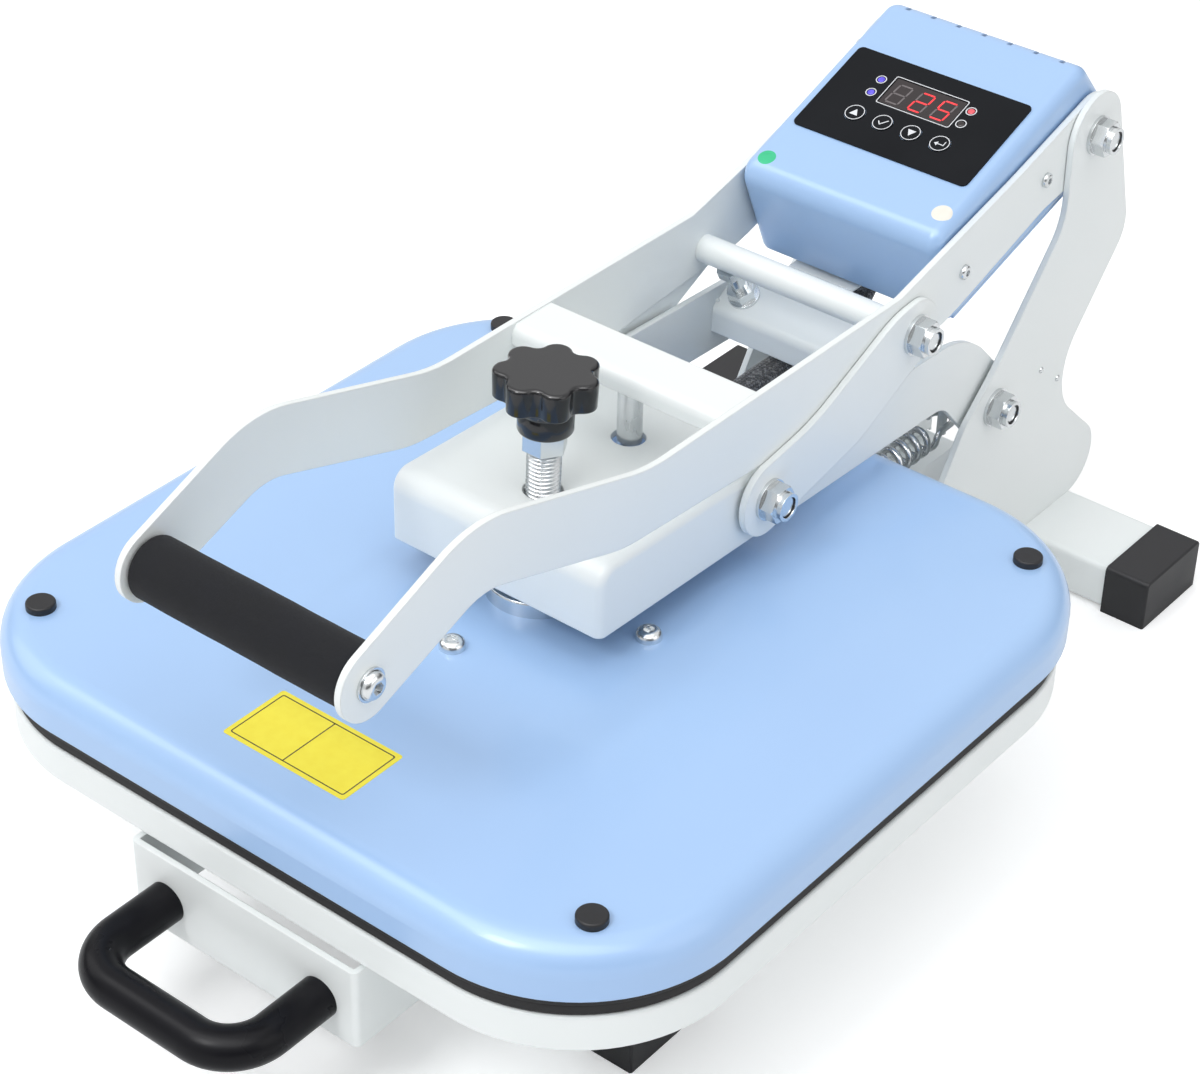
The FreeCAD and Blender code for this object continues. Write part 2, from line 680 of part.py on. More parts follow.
# A rubber boot turns the lead from the cover to the rear.
def lead_grommet():
    x, y, z = LEAD_START
    start = vec(x, y, z)
    way = (vec(*LEAD_VIA[0]) - start).normalize()
    neck = rod(vec(x, y, COVER_UNDER - 2), vec(x, y, COVER_TOP), BOOT_NECK)
    collar = Part.makeCylinder(BOOT_COLLAR / 2, 2.0, vec(x, y, COVER_TOP))
    lip = Part.makeCylinder(BOOT_COLLAR / 2 - 0.5, 2.0, vec(x, y, COVER_UNDER - 2))
    sleeve = rod(start - way * LEAD_IN_BOOT, start + way * LEAD_IN_BOOT, BOOT_WIDE)
    sleeve = sleeve.common(block(x - 20, x + 20, y - 20, y + 20, COVER_TOP, z + 20))
    return fuse([neck, collar, lip, sleeve]).cut(rod(start, start + way * 30, LEAD + 2 * SEAT))


# The braided lead: straight runs joined by arcs as large as the runs allow.
def lead_edges():
    points = [vec(*point) for point in (LEAD_START, *LEAD_VIA)]
    points += [gland_point(LEAD_DROP), gland_point(GLAND_LONG - GLAND_MOUTH)]
    edges = []
    start = points[0]
    for i in range(1, len(points) - 1):
        into = points[i] - points[i - 1]
        out = points[i + 1] - points[i]
        back = 0.45 * min(into.Length, out.Length)
        turn = into.getAngle(out)
        into.normalize()
        out.normalize()
        first, last = points[i] - into * back, points[i] + out * back
        radius = back / math.tan(turn / 2)
        centre_way = (out - into).normalize()
        centre = points[i] + centre_way * (radius / math.cos(turn / 2))
        middle = centre - centre_way * radius
        print("heater lead bend radius", round(radius, 1))
        edges.append(Part.LineSegment(start, first).toShape())
        edges.append(Part.Arc(first, middle, last).toShape())
        start = last
    edges.append(Part.LineSegment(start, points[-1]).toShape())
    return edges


def heater_lead():
    edges = lead_edges()
    lead = swept(edges, LEAD)
    length = sum(edge.Length for edge in edges)
    print("heater lead volume ratio", round(lead.Volume / (length * math.pi * LEAD ** 2 / 4), 4))
    return lead


# Pressure screw
def pressure_screw():
    return rod(on_screw(SCREW_END), on_screw(KNOB_LOW + KNOB_GRIPS), SCREW_ROD)


def hex_collar():
    body = hexagon(on_screw(COLLAR_LOW), on_screw(COLLAR_TOP), COLLAR_FLATS)
    return body.cut(rod(on_screw(COLLAR_LOW - 1), on_screw(COLLAR_TOP + 1), SCREW_ROD + 2 * SEAT))


def knob_outline(z):
    # Round lobes joined by round hollows, each a tangent arc.
    items = []
    for i in range(KNOB_LOBES):
        turn = 2 * math.pi * i / KNOB_LOBES
        reach = KNOB_WIDE / 2 - KNOB_LOBE
        items.append((reach * math.sin(turn), -reach * math.cos(turn), KNOB_LOBE, HUB))
        turn += math.pi / KNOB_LOBES
        reach = KNOB_WAIST / 2 + KNOB_HOLLOW
        items.append((reach * math.sin(turn), -reach * math.cos(turn), -KNOB_HOLLOW, HUB))
    return outline(items, lambda x, y: vec(x, y, z))


def pressure_knob():
    head = Part.Face(knob_outline(0)).extrude(vec(0, 0, KNOB_TOP - KNOB_LOW))
    top = KNOB_TOP - KNOB_LOW
    head = head.makeFillet(1.2, edges_where(head, lambda box: box.ZMin > top - 0.1 and box.ZLength < 0.1))
    hub = Part.makeCylinder(KNOB_HUB / 2, KNOB_LOW - COLLAR_TOP + 1, vec(0, 0, COLLAR_TOP - KNOB_LOW))
    knob = fuse([head, hub])
    bore_top = KNOB_GRIPS + SEAT
    bore = Part.makeCylinder(SCREW_ROD / 2 + SEAT, KNOB_LOW - COLLAR_TOP + bore_top + 1,
                             vec(0, 0, COLLAR_TOP - KNOB_LOW - 1))
    knob = knob.cut(bore)
    knob.rotate(vec(0, 0, 0), vec(1, 0, 0), -ARM_TILT)
    knob.translate(on_screw(KNOB_LOW))
    return knob


# Arm
def arm_top_at(y):
    return ARM_TOP - y * math.tan(TILT)


def press_arm():
    top_front = arm_top_at(ARM_FRONT)
    slope = (ARM_LOW_REAR[1] - ARM_LOW_FRONT) / (ARM_LOW_REAR[0] - ARM_FRONT)
    low_end = ARM_LOW_FRONT + slope * (ARM_DECK_END - ARM_FRONT)
    channel = side_plate([(ARM_FRONT, ARM_LOW_FRONT, 0), (ARM_DECK_END, low_end, 0),
                          (ARM_DECK_END, arm_top_at(ARM_DECK_END), 0), (ARM_FRONT, top_front, 0)],
                         -ARM_OUT, 2 * ARM_OUT)
    nose = edges_where(channel, lambda box: box.XLength > 100 and box.YMax < ARM_FRONT + 1
                       and box.ZMin > top_front - 1)
    channel = channel.makeFillet(ARM_NOSE, nose)
    sides = edges_where(channel, lambda box: box.XLength < 0.1 and (
        (box.YLength > 60 and box.ZMin > 160) or (box.ZLength > 10 and box.YMax < ARM_FRONT + 0.1)
        or (5 < box.YLength < 15 and 5 < box.ZLength < 15)))
    channel = channel.makeFillet(ARM_ROUND, sides)
    wall = SHEET
    inner = side_plate([(ARM_FRONT + wall, ARM_LOW_FRONT - 5, 0), (ARM_DECK_END + 5, low_end - 5, 0),
                        (ARM_DECK_END + 5, arm_top_at(ARM_DECK_END + 5) - wall, 0),
                        (ARM_FRONT + wall, arm_top_at(ARM_FRONT + wall) - wall, ARM_NOSE - wall)],
                       -ARM_IN, 2 * ARM_IN)
    channel = channel.cut(inner)
    hook = side_plate([(ARM_DECK_END - 10, ARM_LOW_FRONT + slope * (ARM_DECK_END - 10 - ARM_FRONT), 0),
                       (ARM_LOW_REAR[0], ARM_LOW_REAR[1], 18.0),
                       (PIVOT_B[0], PIVOT_B[1], 18.5, HUB),
                       (ARM_SHOULDER[0], ARM_SHOULDER[1], 60.0),
                       (ARM_DECK_END - 0.01, arm_top_at(ARM_DECK_END - 0.01), 0),
                       (ARM_DECK_END - 10, arm_top_at(ARM_DECK_END - 10) - ARM_ROUND, 0)],
                      ARM_IN, SHEET)
    arm = fuse([channel] + both_sides(hook))
    arm = arm.cut(rod(on_screw(ARM_TOP - 10), on_screw(ARM_TOP + 10), SCREW_ROD + 2.4))
    arm = arm.cut(rod(vec(0, PIN_HOLE_Y, ARM_TOP - 20), vec(0, PIN_HOLE_Y, ARM_TOP + 20), PIN_HOLE))
    arm = arm.cut(cross_rod(-ARM_OUT - 1, ARM_OUT + 1, PIVOT_D, BOLT + 2 * SEAT))
    return arm.cut(cross_rod(-ARM_OUT - 1, ARM_OUT + 1, PIVOT_B, BOLT + 2 * RUN))


def on_stop(reach, along=0.0):
    # A point of the stop bolt's plane: reach from the cross bar's axis, and along the stop plate.
    y = PIVOT_C[0] + STOP_WAY[0] * reach - STOP_WAY[1] * along
    z = PIVOT_C[1] + STOP_WAY[1] * reach + STOP_WAY[0] * along
    return (y, z)


def stop_plate():
    front, low = LIP_FRONT, LIP_LOW
    upper = on_stop(STOP_REACH, STOP_LONG)
    lower = on_stop(STOP_REACH + SHEET, STOP_LONG)
    slope = STOP_WAY[0] / -STOP_WAY[1]
    at_front = upper[1] - (upper[0] - front) * slope
    inner_y = front + SHEET
    at_inner = lower[1] - (lower[0] - inner_y) * slope
    plate = side_plate([(front, low, 0), (inner_y, low, 0), (inner_y, at_inner, 3.0), (lower[0], lower[1], 0),
                        (upper[0], upper[1], 0), (front, at_front, 3.0 + SHEET)], -ARM_IN, 2 * ARM_IN)
    start, end = on_stop(STOP_REACH - 5), on_stop(STOP_REACH + 10)
    return plate.cut(rod(vec(STOP_X, *start), vec(STOP_X, *end), STOP_BOLT + 2 * SEAT))


def stop_bolt():
    top = BAR_ROD / 2 + TOUCH
    nut_top = STOP_REACH - WASHER - STOP_NUT
    end = STOP_REACH + SHEET + STOP_NUT + 2
    bolt = fuse([stop_hex(top, STOP_HEAD), stop_rod(top + STOP_HEAD, end, STOP_BOLT)])
    clear = stop_rod(top, STOP_REACH + 20, STOP_BOLT + 2 * SEAT)
    nuts = [stop_hex(nut_top, STOP_NUT), stop_hex(STOP_REACH + SHEET, STOP_NUT)]
    washer = stop_rod(STOP_REACH - WASHER, STOP_REACH, 2 * STOP_BOLT)
    return group([bolt] + [piece.cut(clear) for piece in nuts + [washer]])


def stop_rod(near, far, wide):
    return rod(vec(STOP_X, *on_stop(near)), vec(STOP_X, *on_stop(far)), wide)


def stop_hex(near, high):
    return hexagon(vec(STOP_X, *on_stop(near)), vec(STOP_X, *on_stop(near + high)), STOP_FLATS)


def pivot_tube():
    tube = cross_rod(-ARM_IN, ARM_IN, PIVOT_B, PIVOT_TUBE)
    y, z = PIVOT_B
    peg = rod(vec(PEG_X, y, z - 8), vec(PEG_X, y, PEG_LOW), PEG_ROD)
    body = fuse([tube] + both_sides(peg))
    return body.cut(cross_rod(-ARM_OUT, ARM_OUT, PIVOT_B, BOLT + 2 * RUN))


def pressure_nut():
    top = ARM_TOP - SHEET / math.cos(TILT)
    body = hexagon(on_screw(top - NUT_UNDER), on_screw(top), NUT_UNDER_FLATS)
    return body.cut(rod(on_screw(top - NUT_UNDER - 1), on_screw(top + 1), SCREW_ROD + 2 * RUN))


def pivot_d_head():
    head = hexagon(vec(ARM_IN - HEAD_HIGH, *PIVOT_D), vec(ARM_IN, *PIVOT_D), NUT_FLATS)
    return fuse([head, cross_rod(ARM_IN, ARM_OUT, PIVOT_D, BOLT)])


# Springs
# A turn is followed by pairs of arcs that keep the direction at each quarter.
def biarc(p0, t0, p1, t1):
    v = p1 - p0
    t = t0 + t1
    a = 2 * (t0.dot(t1) - 1)
    b = -2 * v.dot(t)
    c = v.dot(v)
    d = c / -b if abs(a) < 1e-9 else (-b - math.sqrt(b * b - 4 * a * c)) / (2 * a)
    joint = (p0 + t0 * d + p1 - t1 * d) * 0.5
    return [arc_from(p0, t0, joint), arc_to(joint, p1, t1)]


def arc_from(start, tangent, end):
    chord = end - start
    way = vec(chord.x, chord.y, chord.z).normalize()
    half = tangent.getAngle(chord)
    lift = tangent - way * tangent.dot(way)
    lift.normalize()
    middle = (start + end) * 0.5 + lift * (chord.Length / 2 * math.tan(half / 2))
    return Part.Arc(start, middle, end).toShape()


def arc_to(start, end, tangent):
    chord = end - start
    way = vec(chord.x, chord.y, chord.z).normalize()
    half = tangent.getAngle(chord)
    lift = way * tangent.dot(way) - tangent
    lift.normalize()
    middle = (start + end) * 0.5 + lift * (chord.Length / 2 * math.tan(half / 2))
    return Part.Arc(start, middle, end).toShape()


def spring_coil_point(turn):
    mean = (SPRING_WIDE - SPRING_WIRE) / 2
    angle = 2 * math.pi * turn
    point = vec(PEG_X + mean * math.cos(angle), SPRING_START + SPRING_PITCH * turn,
                SPRING_Z + mean * math.sin(angle))
    tangent = vec(-2 * math.pi * mean * math.sin(angle), SPRING_PITCH, 2 * math.pi * mean * math.cos(angle))
    return point, tangent.normalize()


def lift_spring():
    mean = (SPRING_WIDE - SPRING_WIRE) / 2
    edges = []
    steps = 4 * SPRING_TURNS
    for i in range(steps):
        p0, t0 = spring_coil_point(i / 4)
        p1, t1 = spring_coil_point((i + 1) / 4)
        edges += biarc(p0, t0, p1, t1)
    # Each end turns along the axis and hooks round its pin.
    hook_in = mean - SPRING_WIRE / 2 - PEG_ROD / 2 - TOUCH
    front_y = ANCHOR_Y + hook_in
    rear_y = PIVOT_B[0] - hook_in
    start, tangent = spring_coil_point(0)
    out = spring_end(start, tangent * -1, vec(0, -1, 0), front_y)
    edges = [reverse(edge) for edge in reversed(out)] + edges
    end, tangent = spring_coil_point(SPRING_TURNS)
    edges += spring_end(end, tangent, vec(0, 1, 0), rear_y)
    return swept(edges, SPRING_WIRE)


def spring_end(point, tangent, axis, hook_y):
    mean = (SPRING_WIDE - SPRING_WIRE) / 2
    drop = HOOK_BEND * (1 if tangent.z > 0 else -1)
    lead_out = vec(point.x, point.y + axis.y * HOOK_BEND, point.z + drop)
    pieces = biarc(point, tangent, lead_out, axis)
    hook = vec(point.x, hook_y, lead_out.z)
    if (hook - lead_out).dot(axis) > 0.01:
        pieces.append(Part.LineSegment(lead_out, hook).toShape())
    across = vec(-1, 0, 0)
    tip = hook + axis * mean + across * mean
    last = hook + across * (2 * mean)
    pieces.append(Part.Arc(hook, tip, last).toShape())
    return pieces


def reverse(edge):
    start, end = edge.valueAt(edge.LastParameter), edge.valueAt(edge.FirstParameter)
    if isinstance(edge.Curve, Part.Line):
        return Part.LineSegment(start, end).toShape()
    middle = edge.valueAt((edge.FirstParameter + edge.LastParameter) / 2)
    return Part.Arc(start, middle, end).toShape()


def print_spring_gap():
    samples = []
    count = 40 * SPRING_TURNS
    for i in range(count + 1):
        samples.append(spring_coil_point(SPRING_TURNS * i / count)[0])
    least = min((samples[i] - samples[j]).Length for i in range(len(samples))
                for j in range(i + 25, len(samples)))
    print("spring: least gap between its turns", round(least - SPRING_WIRE, 2))


# Handle
def handle_plate():
    shape = side_plate([
        (GRIP[0], GRIP[1], LOBE_GRIP, HUB),
        (-109.5, 220.4, 33.0),
        (-20.8, 192.0, 80.0),
        (110.0, 182.8, 200.0),
        (219.7, 191.7, 120.0),
        (303.0, 218.4, 40.0),
        (PIVOT_A[0], PIVOT_A[1], LOBE_A, HUB),
        (275.0, 246.6, 300.0),
        (180.5, CROSS_TOP + 0.2, 14.0),
        (-4.4, CROSS_TOP + 0.8, 90.0),
        (-114.1, 255.6, 60.0),
    ], HANDLE_IN, SHEET)
    for at in (PIVOT_A, PIVOT_C):
        shape = shape.cut(cross_rod(HANDLE_IN - 1, HANDLE_OUT + 1, at, BOLT + 2 * RUN))
    shape = shape.cut(cross_rod(HANDLE_IN - 1, HANDLE_OUT + 1, GRIP, GRIP_SCREW + 2 * SEAT))
    for at in BOX_SCREWS:
        shape = shape.cut(cross_rod(HANDLE_IN - 1, HANDLE_OUT + 1, at, BOX_SCREW + 2 * SEAT))
    return shape


def handle_cross_plate():
    inner_z, inner_y = CROSS_TOP - SHEET, CROSS_FRONT + SHEET
    return side_plate([(CROSS_FRONT, CROSS_LIP, 0), (inner_y, CROSS_LIP, 0), (inner_y, inner_z, 2.0),
                       (CROSS_BACK, inner_z, 0), (CROSS_BACK, CROSS_TOP, 0),
                       (CROSS_FRONT, CROSS_TOP, 2.0 + SHEET)], -HANDLE_IN, 2 * HANDLE_IN)


def cross_bar():
    bar = cross_rod(-HANDLE_IN, HANDLE_IN, PIVOT_C, BAR_ROD)
    return bar.cut(cross_rod(-HANDLE_IN - 1, HANDLE_IN + 1, PIVOT_C, BOLT + 2 * SEAT))


def through_bolt(at, seat):
    reach = seat + NUT_REACH
    bolt = cross_rod(-reach, reach, at, BOLT)
    bolt = bolt.makeChamfer(1.0, edges_where(bolt, lambda box: box.XLength < 0.1))
    nuts = lock_nut(seat, at)
    return group([bolt] + nuts + [mirror_x(piece) for piece in nuts])


def pivot_a_side():
    # The head sits inside the control box, through a hole in its side.
    shank = cross_rod(HANDLE_IN, FRAME_OUT + NUT_REACH, PIVOT_A, BOLT)
    head = cross_rod(HANDLE_IN - 4.0, HANDLE_IN - TOUCH, PIVOT_A, 16.0)
    link = cross_rod(HANDLE_IN - TOUCH - 1, HANDLE_IN + 1, PIVOT_A, BOLT)
    return [fuse([shank, head, link])] + lock_nut(FRAME_OUT, PIVOT_A)


def pivot_d_side():
    shank = cross_rod(ARM_OUT + TOUCH, FRAME_OUT + NUT_REACH, PIVOT_D, BOLT)
    spacer = cross_rod(ARM_OUT + TOUCH, FRAME_IN, PIVOT_D, 18.0)
    return [fuse([shank, spacer])] + lock_nut(FRAME_OUT, PIVOT_D)


def link_plate():
    shape = side_plate([
        (PIVOT_D[0], PIVOT_D[1], LINK_D, HUB),
        (150.0, 163.0, 60.0),
        (PIVOT_C[0], PIVOT_C[1], LINK_C, HUB),
        (174.0, 217.2, 60.0),
        (112.0, 190.5, 110.0),
    ], FRAME_IN, SHEET)
    shape = shape.cut(cross_rod(FRAME_IN - 1, FRAME_OUT + 1, PIVOT_D, BOLT + 2 * SEAT))
    return shape.cut(cross_rod(FRAME_IN - 1, FRAME_OUT + 1, PIVOT_C, BOLT + 2 * RUN))


def grip_tube():
    return pipe(vec(-HANDLE_IN, *GRIP), vec(HANDLE_IN, *GRIP), GRIP_CORE,
                GRIP_SCREW + 2 * SEAT)


def handle_grip():
    half = HANDLE_IN - TOUCH
    grip = cross_rod(-half, half, GRIP, GRIP_WIDE)
    grip = grip.makeFillet(1.0, edges_where(grip, lambda box: box.XLength < 0.1))
    return grip.cut(cross_rod(-half - 1, half + 1, GRIP, GRIP_CORE))


def handle_screws():
    grip = domed_screw(vec(HANDLE_OUT, *GRIP), (1, 0, 0), 12.5, 4.5, GRIP_SCREW, 22.0)
    washer = pipe(vec(HANDLE_OUT, *GRIP), vec(HANDLE_OUT + 1.0, *GRIP), 15.0, 12.9)
    screws = both_sides(grip) + both_sides(washer)
    for at in BOX_SCREWS:
        screw = domed_screw(vec(HANDLE_OUT, *at), (1, 0, 0), 7.5, 2.4, BOX_SCREW, HANDLE_OUT - BOX_HALF + 4)
        screws += both_sides(screw)
    return group(screws)


# Control box
def on_top(s, lift=0.0):
    # A point on the sloping top, s along it from the panel's front edge.
    y = PANEL_START[0] + s * math.cos(SLOPE) - lift * math.sin(SLOPE)
    z = PANEL_START[1] + s * math.sin(SLOPE) + lift * math.cos(SLOPE)
    return (y, z)


def top_vec(x, s, lift):
    return vec(x, *on_top(s, lift))


def box_outline():
    return [(BOX_FRONT_LOW[0], BOX_FRONT_LOW[1], 3.0), (BOX_REAR_LOW[0], BOX_REAR_LOW[1], 4.0),
            (BOX_REAR_MID[0], BOX_REAR_MID[1], 5.0), (*on_top(BOX_TAIL), 10.0), (*on_top(BOX_NOSE), 10.0)]


def box_cover():
    def body(inset):
        wire = outline(box_outline(), lambda y, z: vec(-BOX_HALF + inset, y, z))
        if inset:
            wire = wire.makeOffset2D(-inset)
        solid = Part.Face(wire).extrude(vec(2 * (BOX_HALF - inset), 0, 0))
        top = edges_where(solid, lambda box: box.XLength < 0.1 and box.ZMin > 232 and box.ZMax > 270)
        return solid.makeFillet(BOX_FILLET - inset, top)
    shell = body(0).cut(body(BOX_SHEET))
    (y0, z0), (y1, z1) = BOX_FRONT_LOW, BOX_REAR_LOW
    under = side_plate([(y0 - 4, z0 - 8, 0), (y1 + 6, z1 - 10, 0), (y1 + 1.5, z1 + 4.5, 0),
                        (y0 + 3.2, z0 + 3.2, 0)], BOX_SHEET - BOX_HALF, 2 * (BOX_HALF - BOX_SHEET))
    shell = shell.cut(under)
    for i in range(VENTS):
        x = VENT_PITCH * (i - (VENTS - 1) / 2)
        start, end = BOX_TAIL - 3.7, BOX_TAIL + 5.0
        slot = Part.makeBox(VENT_WIDE, end - start, 30.0, vec(x - VENT_WIDE / 2, 0, -20.0))
        slot.rotate(vec(0, 0, 0), vec(1, 0, 0), BOX_SLOPE)
        slot.translate(top_vec(0, start, 0))
        shell = shell.cut(slot)
    shell = shell.cut(cross_rod(-BOX_HALF - 1, BOX_HALF + 1, PIVOT_A, 19.0))
    for at in BOX_SCREWS:
        shell = shell.cut(cross_rod(-BOX_HALF - 1, BOX_HALF + 1, at, BOX_SCREW + 2 * SEAT))
    shell = shell.cut(rear_piece(INLET_X, INLET_HALF, 2 * SEAT, -8, 8))
    shell = shell.cut(rear_piece(ROCKER_X, ROCKER_HALF, 2 * SEAT, -8, 8))
    for x in BUTTON_X:
        shell = shell.cut(rod(top_vec(x, BUTTON_S, -5), top_vec(x, BUTTON_S, 5), BUTTON_WIDE - 3))
    return shell


# The rear face below the top's edge leans forwards. A block on it is given across x, along the face
# and by its depth, outwards being positive.
def rear_way():
    rise = (BOX_REAR_MID[0] - BOX_REAR_LOW[0], BOX_REAR_MID[1] - BOX_REAR_LOW[1])
    long = math.hypot(*rise)
    return (rise[0] / long, rise[1] / long), long


def rear_block(x0, x1, t0, t1, d0, d1):
    (uy, uz), long = rear_way()
    mid = (BOX_REAR_LOW[0] + uy * long / 2, BOX_REAR_LOW[1] + uz * long / 2)
    corners = []
    for t, d in ((t0, d0), (t1, d0), (t1, d1), (t0, d1)):
        corners.append(vec(x0, mid[0] + uy * t + uz * d, mid[1] + uz * t - uy * d))
    return Part.Face(Part.makePolygon(corners + corners[:1])).extrude(vec(x1 - x0, 0, 0))


# A block on the rear face round x, made larger all round by grow.
def rear_piece(x, half, grow, low, high):
    wide, tall = half[0] + grow, half[1] + grow
    return rear_block(x - wide, x + wide, -tall, tall, low, high)


def base_height(y):
    slope = (BOX_REAR_LOW[1] - BOX_FRONT_LOW[1]) / (BOX_REAR_LOW[0] - BOX_FRONT_LOW[0])
    return BOX_FRONT_LOW[1] + slope * (y - BOX_FRONT_LOW[0])


# A point on the gland's axis, below the box by the given distance.
def gland_point(below):
    slope = math.atan2(BOX_REAR_LOW[1] - BOX_FRONT_LOW[1], BOX_REAR_LOW[0] - BOX_FRONT_LOW[0])
    x, y = GLAND
    return vec(x, y + below * math.sin(slope), base_height(y) - below * math.cos(slope))


def box_base():
    y0, y1 = BOX_FRONT_LOW[0] + 3.6, BOX_REAR_LOW[0] - 0.5
    z0, z1 = base_height(y0), base_height(y1)
    half = BOX_HALF - BOX_SHEET - SEAT
    plate = side_plate([(y0, z0, 0), (y1, z1, 0), (y1, z1 + BOX_SHEET, 0), (y0, z0 + BOX_SHEET, 0)],
                       -half, 2 * half)
    return plate.cut(rod(gland_point(5), gland_point(-5), GLAND_NECK + 2 * SEAT))


# The gland's hexagon is under the base and its collar inside, with the lead's end held in it.
def lead_gland():
    inside = BOX_SHEET + 3.0
    body = hexagon(gland_point(GLAND_LONG), gland_point(0), GLAND_FLATS)
    neck = rod(gland_point(0), gland_point(-inside), GLAND_NECK)
    collar = rod(gland_point(-BOX_SHEET), gland_point(-inside), GLAND_FLATS)
    socket = rod(gland_point(GLAND_LONG - GLAND_MOUTH), gland_point(GLAND_LONG + 1), LEAD + 2 * SEAT)
    return fuse([body, neck, collar]).cut(socket)


def control_panel():
    items = [(-PANEL_HALF, 0, 3.0), (PANEL_HALF, 0, 3.0), (PANEL_HALF, PANEL_LONG, 3.0),
             (-PANEL_HALF, PANEL_LONG, 3.0)]
    wire = outline(items, lambda x, s: top_vec(x, s, 0))
    lift = top_vec(0, 0, PANEL_HIGH) - top_vec(0, 0, 0)
    panel = Part.Face(wire).extrude(lift)
    for x in BUTTON_X:
        panel = panel.cut(rod(top_vec(x, BUTTON_S, -1), top_vec(x, BUTTON_S, 2), BUTTON_WIDE + 2 * TOUCH))
    for x, s in LAMPS:
        panel = panel.cut(rod(top_vec(x, s, -1), top_vec(x, s, 2), LAMP_WIDE + 2 * SEAT))
    return panel.cut(display_block(DISPLAY_HALF, 0, 0, 2))


def display_block(half, trim, low, high):
    s0, s1 = DISPLAY_S[0] + trim, DISPLAY_S[1] - trim
    corners = [top_vec(x, s, low) for x, s in ((-half, s0), (half, s0), (half, s1), (-half, s1))]
    face = Part.Face(Part.makePolygon(corners + corners[:1]))
    return face.extrude(top_vec(0, 0, high) - top_vec(0, 0, low))


def display_and_lamps():
    pieces = [display_block(DISPLAY_HALF - SEAT, SEAT, 0, PANEL_HIGH - 0.2)]
    for x, s in LAMPS:
        pieces.append(rod(top_vec(x, s, 0), top_vec(x, s, PANEL_HIGH + 0.4), LAMP_WIDE))
    return group(pieces)


def panel_button(x):
    low = BUTTON_TRAVEL + 0.1
    cap = rod(top_vec(x, BUTTON_S, low), top_vec(x, BUTTON_S, PANEL_HIGH + 0.3), BUTTON_WIDE)
    stem = rod(top_vec(x, BUTTON_S, BOARD_LIFT + BOARD_THICK + 0.8), top_vec(x, BUTTON_S, low), 4.0)
    return fuse([cap, stem])


def controller_board():
    s0, s1 = BOARD_TRIM, PANEL_LONG - BOARD_TRIM
    half = BOARD_HALF
    corners = [top_vec(-half, s0, BOARD_LIFT), top_vec(half, s0, BOARD_LIFT),
               top_vec(half, s1, BOARD_LIFT), top_vec(-half, s1, BOARD_LIFT)]
    up = top_vec(0, 0, BOARD_THICK) - top_vec(0, 0, 0)
    board = Part.Face(Part.makePolygon(corners + corners[:1])).extrude(up)
    pillars = []
    for x in (4 - half, half - 4):
        for s in (s0 + 4, s1 - 4):
            pillars.append(rod(top_vec(x, s, BOARD_LIFT + BOARD_THICK), top_vec(x, s, -BOX_SHEET), 6.0))
    return fuse([board] + pillars)


def power_inlet():
    flange = rear_piece(INLET_X, INLET_HALF, 1.2, 0, 2.5)
    body = rear_piece(INLET_X, INLET_HALF, 0, -6, 0)
    return fuse([flange, body]).cut(rear_piece(INLET_X, MOUTH_HALF, 0, -4, 4))


def rocker_frame():
    frame = rear_piece(ROCKER_X, ROCKER_HALF, 2.0, 0, 1.5)
    body = rear_piece(ROCKER_X, ROCKER_HALF, 0, -7.5, 0)
    shell = fuse([frame, body]).cut(rear_piece(ROCKER_X, ROCKER_HALF, -1.2, -6, 4))
    return shell.cut(rocker_axle(ROCKER_HALF[1] + 1, ROCKER_PIN + 2 * SEAT))


# A round bar along the rocker's pivot, which runs up the box's rear face.
def rocker_axle(reach, wide):
    (uy, uz), long = rear_way()
    y, z = BOX_REAR_LOW[0] + uz * ROCKER_PIVOT, BOX_REAR_LOW[1] - uy * ROCKER_PIVOT
    low, high = long / 2 - reach, long / 2 + reach
    return rod(vec(ROCKER_X, y + uy * low, z + uz * low), vec(ROCKER_X, y + uy * high, z + uz * high), wide)


# The paddle is a shallow V whose wings meet above its pivot, which runs along the rear face. Its raised
# end is drawn in, so that it clears the frame as it goes down.
def power_rocker():
    half, tall = ROCKER_HALF[0] - 1.8, ROCKER_HALF[1] - 1.7
    low, high, rise = ROCKER_PIVOT - 1.0, ROCKER_PIVOT + 2.2, 2.2
    (uy, uz), long = rear_way()
    mid = (BOX_REAR_LOW[0] + uy * long / 2, BOX_REAR_LOW[1] + uz * long / 2)
    points = []
    profile = ((-half, low), (half, low), (half, high), (half - 1, high + rise), (0, high),
               (0.3 - half, high))
    for x, d in profile:
        points.append(vec(ROCKER_X + x, mid[0] + uz * d - uy * tall, mid[1] - uy * d - uz * tall))
    face = Part.Face(Part.makePolygon(points + points[:1]))
    paddle = face.extrude(vec(0, uy * 2 * tall, uz * 2 * tall))
    return fuse([paddle, rocker_axle(ROCKER_HALF[1] - 0.2, ROCKER_PIN)])


# A small switch under a bracket that hangs from the front of the box's base.
def timer_switch():
    y, z = BOX_FRONT_LOW
    thick = 1.2
    shelf, leg, tab = z - 4.0, y + 12.0, y + 22.0
    behind = leg + thick
    bracket = side_plate([(y - 1, shelf, 0), (behind, shelf, 0), (behind, base_height(behind) - thick, 0),
                          (tab, base_height(tab) - thick, 0), (tab, base_height(tab), 0),
                          (leg, base_height(leg), 0), (leg, shelf + thick, 0),
                          (y - 1, shelf + thick, 0)], -38.0, 38.0)
    return group([bracket, block(-30, -14, y - 2.5, y + 8, shelf - 6.0, shelf)])


